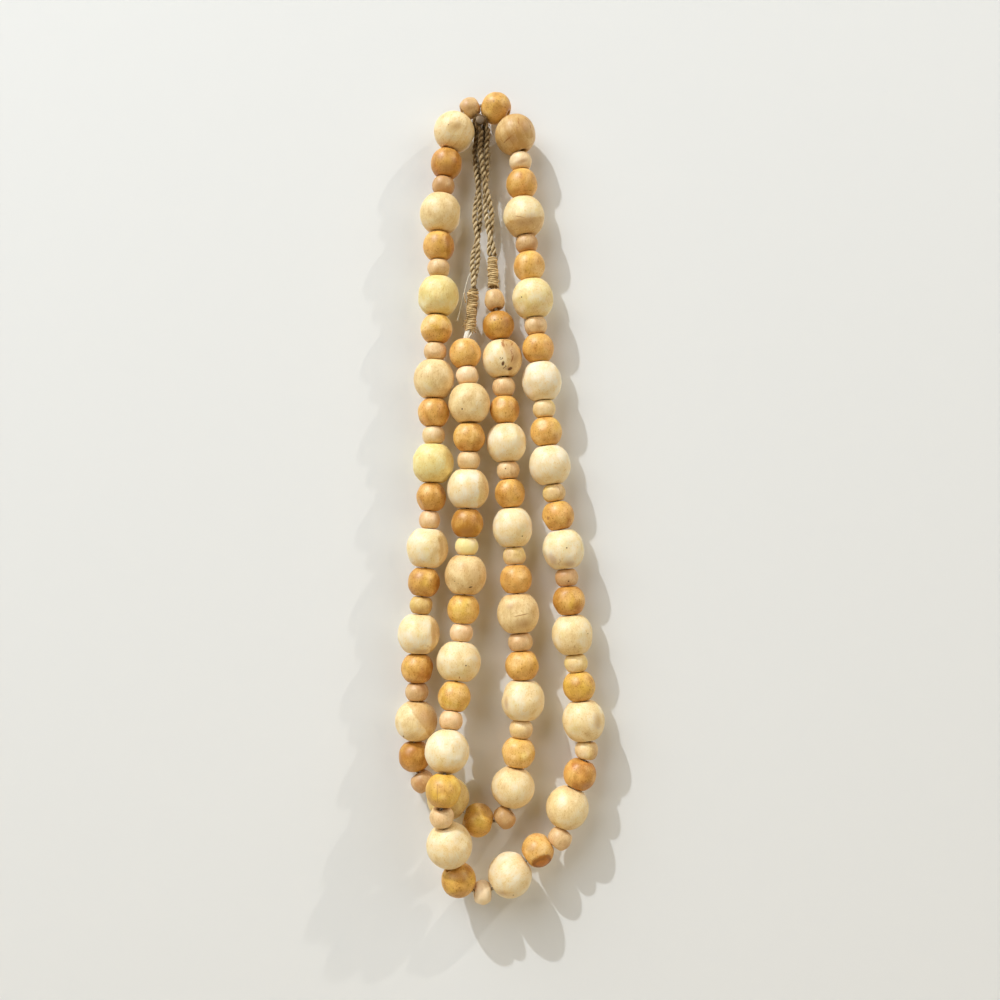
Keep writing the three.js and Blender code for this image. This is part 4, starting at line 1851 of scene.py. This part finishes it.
@dataclass(frozen=True)
class Whipping:
    """Jute wound tightly round the foot of a loop and the end of the cord. Radii run from the bottom up."""

    side: str
    seed: int
    top: Vector
    bottom: Vector
    radii: tuple[float, ...]
    tails: tuple[Tail, ...]
    slants: float
    crossings: tuple[Crossing, ...] = ()
    pitch: float = 0.98
    thread: float = 0.56
    unevenness: float = 0.3
    wobble: tuple[float, float] = (-0.22, 0.2)
    sway: float = 0.25
    crossing_sway: float = 0.4
    crossing_thread: float = 0.95
    core_shares: tuple[float, ...] = (0.02, 0.3, 0.6, 0.98)
    tail_radius: float = 0.34
    sides: int = 7
    steps_a_turn: int = 26

    @property
    def node(self) -> str:
        """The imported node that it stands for."""
        return f"{self.side}_whipping"

    def inside(self) -> Vector:
        """A point inside the whipping, where the cord ends."""
        return self.bottom.lerp(self.top, 0.4)

    def foot(self) -> Vector:
        """The middle of its lower end."""
        return self.bottom

    def build(self) -> bpy.types.Object:
        """Winds the whipping.

        Returns:
            The piece.
        """
        shell = Shell()
        along = self.top - self.bottom
        square = carried_frames([self.bottom, self.top])[0]
        track = self._turns(along, square)
        shell.add_tube(track, self._thickness(len(track)), self.sides)
        self._add_crossings(shell, along, square)
        self._mark_grooves(shell, along)
        self._add_core(shell, along)
        self._add_tails(shell)
        piece = shell.to_object(f"{self.node}_turns", WHIPPING_JUTE.build())
        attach(piece, ROOT)
        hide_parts(self.node)
        return piece

    def _turns(self, along: Vector, square: tuple[Vector, Vector]) -> list[Vector]:
        """Winds the thread up the whipping, a little unevenly.

        Args:
            along: From the whipping's bottom to its top.
            square: Two directions square to it.

        Returns:
            The thread's middle line.
        """
        length = along.length / MM
        draw = random.Random(self.seed)
        turns = int((length - 2.0 * self.thread) / self.pitch)
        wobble = [draw.uniform(*self.wobble) for _ in range(turns + 2)]
        track = []
        for index in range(turns * self.steps_a_turn + 1):
            turn = index / self.steps_a_turn
            level = self.thread + turn * self.pitch
            angle = TURN * turn
            uneven = np.interp(turn, range(turns + 2), wobble)
            radius = self._radius(level / length) - self.thread + uneven
            tilt = self.slants * math.cos(angle) + self.sway * uneven * math.sin(angle * 2.0)
            centre = self.bottom + along * ((level + tilt) / length)
            track.append(centre + spoke(square, angle) * radius * MM)
        return track

    def _radius(self, share: float) -> float:
        """The whipping's outer radius at a share of its height, in millimetres."""
        return float(np.interp(share, np.linspace(0.0, 1.0, len(self.radii)), self.radii))

    def _thickness(self, count: int) -> list[float]:
        """The thread's radius at each point, a little uneven, in metres."""
        changes = [self.unevenness * noise.noise(Vector((i * 0.09, 3.0, 1.0))) for i in range(count)]
        return [self.thread * (1.0 + change) * MM for change in changes]

    def _mark_grooves(self, shell: Shell, along: Vector) -> None:
        """Marks how deep between the turns each point lies, where the thread is painted darker as shade.

        Args:
            shell: The whipping's mesh.
            along: From its bottom to its top.
        """
        axis = along.normalized()
        length = along.length / MM
        for index, point in enumerate(shell.points):
            arm = point - self.bottom
            level = arm.dot(axis)
            reach = (arm - axis * level).length / MM
            outer = self._radius(level / MM / length)
            shell.numbers["groove"][index] = min(1.0, max(0.0, (outer - reach) / self.thread))

    def _add_crossings(self, shell: Shell, along: Vector, square: tuple[Vector, Vector]) -> None:
        """Adds the turns that cross the others.

        Args:
            shell: The mesh that takes them.
            along: From the whipping's bottom to its top.
            square: Two directions square to it.
        """
        length = along.length / MM
        for crossing in self.crossings:
            level, tilt = crossing.level, crossing.tilt
            radius = self._radius(level / length) - self.thread * (1.0 - crossing.proud)
            track = []
            for step in range(self.steps_a_turn + 2):
                angle = TURN * step / self.steps_a_turn
                sway = self.crossing_sway * tilt * math.sin(2.0 * angle)
                height = level + tilt * math.cos(angle) + sway
                track.append(self.bottom + along * (height / length) + spoke(square, angle) * radius * MM)
            thickness = [self.thread * self.crossing_thread * MM] * len(track)
            shell.add_tube(track, thickness, self.sides, seed=level)

    def _add_core(self, shell: Shell, along: Vector) -> None:
        """Fills the middle, so that no gap shows between the turns, painted more than half dark as the
        shade there.

        Args:
            shell: The mesh that takes the core.
            along: From the whipping's bottom to its top.
        """
        track = [self.bottom + along * share for share in self.core_shares]
        radii = [(self._radius(share) - self.thread) * MM for share in self.core_shares]
        shell.add_tube(track, radii, 12, groove=0.6)

    def _add_tails(self, shell: Shell) -> None:
        """Adds the thread's loose ends.

        Args:
            shell: The mesh that takes them.
        """
        for number, tail in enumerate(self.tails):
            root = self.bottom + Vector((tail.across * 0.7, -1.6, tail.up)) * MM
            bend = root + Vector((tail.stray * 0.5, -0.5, tail.rise * 0.25)) * MM
            tip = root + Vector((tail.stray, 0.2, tail.rise)) * MM
            track = SmoothLine([root, bend, tip]).even(0.4 * MM)
            radii = [self.tail_radius * MM * (1.0 - 0.5 * i / len(track)) for i in range(len(track))]
            # The tails are painted a little shaded.
            shell.add_tube(track, radii, 6, 0.15, seed=number * 1.7)


@dataclass(frozen=True)
class HangingLoop:
    """A loop of twisted jute that goes up over the nail and back down into its whipping."""

    side: str
    seed: int
    sections: tuple[Section, ...]
    whipping: Whipping
    rope: Rope = Rope(
        radius=1.35,
        plies=2,
        pitch=6.2,
        ply_radius=0.76,
        sides=10,
        step=0.42,
        hairs=Hairs(count=420),
    )
    levels_a_section: int = 2
    points_over_nail: int = 7
    seat_gap: float = 0.45
    # How dark the painted shade near the nail is, and over how many millimetres down it fades.
    nail_shade: float = 0.95
    nail_shade_length: float = 24.0

    @property
    def node(self) -> str:
        """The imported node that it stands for."""
        return f"{self.side}_hanging_loop"

    def leg(self, side: int) -> list[Vector]:
        """One leg from the nail down to the whipping.

        Args:
            side: 1 for the first leg and -1 for the second.

        Returns:
            Its points.
        """
        points = []
        for upper, lower in zip(self.sections, self.sections[1:]):
            for step in range(self.levels_a_section):
                points.append(upper.toward(lower, step / self.levels_a_section).leg(side))
        last = self.sections[-1]
        top = self.whipping.top / MM
        foot = Section(top.z + self.seat_gap, top.x, -top.y, last.spread, last.turn)
        return [*points, last.leg(side), foot.leg(side)]

    def route(self) -> list[Vector]:
        """Joins the two legs over the nail.

        Returns:
            The whole loop's points, from one foot to the other.
        """
        first = self.sections[0]
        over = []
        for step in range(1, self.points_over_nail - 1):
            angle = math.pi * (1.0 - step / (self.points_over_nail - 1))
            radius = first.spread / 2.0
            over.append(place(radius * math.cos(angle), first.out, radius * math.sin(angle)))
        return [*reversed(self.leg(1)), *over, *self.leg(-1)]

    def build(self) -> bpy.types.Object:
        """Returns:
            The piece.
        """
        shell = Shell()
        path = self.rope.lay(shell, SmoothLine(self.route()), self.seed)
        self._paint_shade_near_nail(shell)
        piece = shell.to_object(f"{self.node}_rope", LOOP_JUTE.build())
        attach(piece, ROOT)
        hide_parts(self.node)
        length = sum((b - a).length for a, b in zip(path, path[1:]))
        LOG.info("%s is %.0f mm of jute rope", self.node, length / MM)
        return piece

    def _paint_shade_near_nail(self, shell: Shell) -> None:
        """Paints shade on the rope near the nail, where the beads above shade it, darkest at the nail and
        fading downwards.

        Args:
            shell: The rope's mesh.
        """
        for index, point in enumerate(shell.points):
            # Painted shade: darkest at the nail, where the beads above shade the rope.
            painted_shade = self.nail_shade * math.exp(min(point.z, 0.0) / (self.nail_shade_length * MM))
            shell.numbers["groove"][index] = min(1.0, shell.numbers["groove"][index] + painted_shade)


@dataclass(frozen=True)
class Nail:
    """The plain nail in the wall. Millimetres."""

    shank_radius: float = 1.0
    head_radius: float = 2.2
    head_thickness: float = 1.1
    head_crown: float = 0.3
    edge: float = 0.12
    length: float = 14.2
    sides: int = 40

    def build(self) -> bpy.types.Object:
        """Builds the nail.

        Returns:
            The piece.
        """
        neck = self.length - self.head_thickness
        brim = self.length - self.head_crown
        profile = (
            (self.shank_radius * 0.9, 0.0),
            (self.shank_radius, 0.1),
            (self.shank_radius, neck - 0.1),
            (self.shank_radius + self.edge, neck),
            (self.head_radius - self.edge, neck),
            (self.head_radius, neck + self.edge),
            (self.head_radius, brim - self.edge),
            (self.head_radius - 0.1, brim + 0.02),
            (self.head_radius * 0.7, self.length - 0.1),
            (self.head_radius * 0.35, self.length - 0.02),
            (0.05, self.length),
        )
        shell = Shell()
        track = [place(0.0, out, 0.0) for _, out in profile]
        shell.add_tube(track, [radius * MM for radius, _ in profile], self.sides)
        piece = shell.to_object("nail", NAIL_STEEL.build())
        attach(piece, ROOT)
        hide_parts("wall_nail")
        return piece


# ---- Stage ----


@dataclass(frozen=True)
class Lamp:
    """A round soft lamp on the wall's room side. Its place is from the garland's middle, in metres."""

    name: str
    towards: tuple[float, float, float]
    distance: float
    size: float
    watts: float
    colour: Colour

    def build(self, aim: Vector) -> bpy.types.Object:
        """Hangs the lamp and turns it to the garland.

        Args:
            aim: The garland's middle.

        Returns:
            The lamp.
        """
        data = bpy.data.lights.new(self.name, "AREA")
        data.shape = "DISK"
        data.size = self.size
        data.energy = self.watts
        data.color = self.colour
        lamp = bpy.data.objects.new(self.name, data)
        direction = Vector(self.towards).normalized()
        lamp.location = aim + direction * self.distance
        lamp.rotation_mode = "QUATERNION"
        lamp.rotation_quaternion = direction.to_track_quat("Z", "Y")
        bpy.context.scene.collection.objects.link(lamp)
        return lamp


@dataclass(frozen=True)
class Studio:
    """The camera, the lamps, the pale wall behind the nail and the pale floor below."""

    camera_place: tuple[float, float, float] = (0.01006, -0.510, -0.2231)
    camera_pitch: float = 93.7
    lens: float = 36.6
    sensor: float = 36.0
    wall_half: float = 3.0
    floor_drop: float = 1.25
    floor_half: float = 3.0
    wall_colour: Colour = (0.764, 0.766, 0.757)
    floor_colour: Colour = (0.65, 0.52, 0.33)
    world_colour: Colour = (1.0, 0.94, 0.81)
    world_strength: float = 0.022
    backdrop_colour: Colour = (0.5, 0.495, 0.475)
    lamps: tuple[Lamp, ...] = (
        Lamp(
            "left_lamp",
            towards=(-0.433, -0.463, 0.773),
            distance=4.0,
            size=0.07,
            watts=99.0,
            colour=(0.9, 0.952, 1.0),
        ),
        Lamp(
            "right_lamp",
            towards=(0.625, -0.352, 0.697),
            distance=4.0,
            size=0.07,
            watts=33.0,
            colour=(1.0, 0.96, 0.89),
        ),
        Lamp(
            "left_ceiling",
            towards=(-0.54, -0.55, 0.64),
            distance=3.0,
            size=3.0,
            watts=76.0,
            colour=(0.925, 0.968, 1.0),
        ),
        Lamp(
            "right_window",
            towards=(0.73, -0.6, 0.32),
            distance=3.0,
            size=2.4,
            watts=24.0,
            colour=(1.0, 0.985, 0.94),
        ),
        Lamp(
            "back_fill",
            towards=(0.3, 0.9, 0.35),
            distance=1.6,
            size=1.2,
            watts=8.0,
            colour=(1.0, 0.98, 0.95),
        ),
    )

    def build_camera(self) -> None:
        """Sets up the camera in front of the wall."""
        data = bpy.data.cameras.new("camera")
        data.lens = self.lens
        data.sensor_width = self.sensor
        camera = bpy.data.objects.new("camera", data)
        camera.location = self.camera_place
        camera.rotation_euler = (math.radians(self.camera_pitch), 0.0, 0.0)
        bpy.context.scene.collection.objects.link(camera)
        bpy.context.scene.camera = camera

    def build_stage(self) -> None:
        """Sets up the lamps, the world, the wall and the floor."""
        low, high = CAD_BOX
        middle = (low + high) / 2.0
        for lamp in self.lamps:
            lamp.build(middle)
        self._build_world()
        wall = self._sheet("wall", self.wall_half, self._wall_material())
        wall.location = (0.0, 0.0, middle.z + self.wall_half - self.floor_drop)
        wall.rotation_euler = (math.radians(90.0), 0.0, 0.0)
        wall.visible_shadow = False
        kit = MaterialKit("floor")
        floor = self._sheet("floor", self.floor_half, kit.surface((*self.floor_colour, 1.0), 0.8))
        floor.location = (0.0, 0.0, middle.z - self.floor_drop)
        bpy.context.scene.view_settings.view_transform = "Standard"

    def _build_world(self) -> None:
        """Lights the room evenly, and shows its far side as a plain pale backdrop."""
        world = bpy.data.worlds.new("room")
        world.use_nodes = True
        kit = NodeKit(world.node_tree)
        even = {"Color": (*self.world_colour, 1.0), "Strength": self.world_strength}
        light = kit.node("ShaderNodeBackground", sockets=even)
        backdrop = kit.node("ShaderNodeBackground", sockets={"Color": (*self.backdrop_colour, 1.0)})
        seen = kit.node("ShaderNodeLightPath")
        shown = kit.node("ShaderNodeMixShader", sockets={0: seen, 1: light, 2: backdrop})
        kit.end("ShaderNodeOutputWorld", shown)
        bpy.context.scene.world = world

    def _wall_material(self) -> bpy.types.Material:
        """Paints the room side of the wall, and leaves its other side clear.

        Returns:
            The material.
        """
        kit = MaterialKit("wall_paint")
        paint = kit.node("ShaderNodeBsdfDiffuse", sockets={"Color": (*self.wall_colour, 1.0)})
        clear = kit.node("ShaderNodeBsdfTransparent")
        behind = kit.node("ShaderNodeNewGeometry", output=6)
        return kit.close(kit.node("ShaderNodeMixShader", sockets={0: behind, 1: paint, 2: clear}))

    @staticmethod
    def _sheet(name: str, half: float, material: bpy.types.Material) -> bpy.types.Object:
        """Makes a flat square sheet.

        Args:
            name: Its name.
            half: Half of its side, in metres.
            material: Its material.

        Returns:
            The sheet.
        """
        mesh = bpy.data.meshes.new(name)
        corners = [(-half, -half, 0.0), (half, -half, 0.0), (half, half, 0.0), (-half, half, 0.0)]
        mesh.from_pydata(corners, [], [(0, 1, 2, 3)])
        mesh.materials.append(material)
        sheet = bpy.data.objects.new(name, mesh)
        bpy.context.scene.collection.objects.link(sheet)
        return sheet


# ---- Assembly ----

LEFT_WHIPPING = Whipping(
    side="left",
    seed=68,
    top=place(-3.3, 9.4, -84.8),
    bottom=place(-4.8, 9.8, -106.5),
    radii=(2.6, 2.7, 2.8, 2.5),
    tails=(
        Tail(-2.2, 3.0, -2.4, -1.0),
        Tail(-2.4, 4.0, -1.9, -0.6),
        Tail(-2.5, 5.0, -1.5, 0.3),
        Tail(-1.4, 0.8, -1.2, -1.8),
        Tail(0.6, 0.6, 0.8, -2.0),
        Tail(1.6, 0.4, 1.6, -1.6),
        Tail(2.4, 1.4, 1.4, -1.2),
        Tail(3.4, 19.0, 2.0, 0.8),
        Tail(-3.2, 14.0, -0.6, 5.0),
    ),
    slants=0.5,
    crossings=(
        Crossing(3.2, 1.3, 0.7),
        Crossing(4.6, 1.5, 0.5),
        Crossing(10.4, -1.4, 0.3),
        Crossing(17.6, -1.3, 0.7),
        Crossing(19.2, 0.9, 0.75),
    ),
)
RIGHT_WHIPPING = Whipping(
    side="right",
    seed=85,
    top=place(6.2, 10.9, -69.0),
    bottom=place(6.8, 10.5, -85.0),
    radii=(2.4, 2.6, 2.6, 2.4),
    tails=(
        Tail(-2.6, 1.2, -0.8, -1.4),
        Tail(-3.0, 2.2, -0.7, -1.2),
        Tail(2.6, 1.0, 0.9, -1.4),
        Tail(2.9, 4.0, 0.8, -1.2),
    ),
    slants=-0.3,
    crossings=(
        Crossing(1.6, -0.9, 0.6),
        Crossing(2.8, 0.9, 0.4),
        Crossing(7.4, 0.8, 0.5),
        Crossing(9.0, -0.6, 0.55),
        Crossing(14.0, 0.7, 0.5),
    ),
)
LOOPS = (
    HangingLoop(
        side="left",
        seed=12,
        whipping=LEFT_WHIPPING,
        sections=(
            Section(0.0, 0.0, 8.8, 5.0, 180),
            Section(-5.0, 0.2, 8.8, 3.4, 180),
            Section(-14.5, -1.0, 8.8, 3.4, 170),
            Section(-24.7, -1.0, 8.9, 2.7, 135),
            Section(-33.8, -0.8, 8.9, 2.7, 90),
            Section(-47.2, -1.3, 9.0, 2.7, 0),
            Section(-59.4, -1.3, 9.1, 2.7, -90),
            Section(-70.1, -2.4, 9.2, 2.7, -180),
            Section(-80.3, -3.0, 9.3, 2.7, -260),
        ),
    ),
    HangingLoop(
        side="right",
        seed=15,
        whipping=RIGHT_WHIPPING,
        sections=(
            Section(0.0, 0.0, 11.6, 5.0, 180),
            Section(-5.0, 2.2, 11.6, 3.4, 180),
            Section(-14.5, 1.7, 11.7, 3.4, 170),
            Section(-24.7, 2.4, 11.7, 2.7, 135),
            Section(-33.8, 2.8, 11.6, 2.7, 90),
            Section(-47.2, 4.5, 11.3, 2.7, 0),
            Section(-59.4, 5.1, 11.1, 2.7, -90),
            Section(-65.8, 5.8, 11.0, 2.7, -150),
        ),
    ),
)


def report(pieces: Iterable[bpy.types.Object]) -> None:
    """Says how many faces each piece has."""
    for piece in pieces:
        LOG.info("%s: %d faces", piece.name, len(piece.data.polygons))


def main() -> None:
    """Builds the camera, the loops and their whippings, the strand, the nail and the stage."""
    logging.basicConfig(level=logging.INFO, format="%(name)s: %(message)s")
    studio = Studio()
    studio.build_camera()
    report(loop.build() for loop in LOOPS)
    whippings = {whipping.side: whipping for whipping in (LEFT_WHIPPING, RIGHT_WHIPPING)}
    report(whipping.build() for whipping in whippings.values())
    report(Strand().build(whippings))
    report([Nail().build()])
    studio.build_stage()


if __name__ == "__main__":
    main()
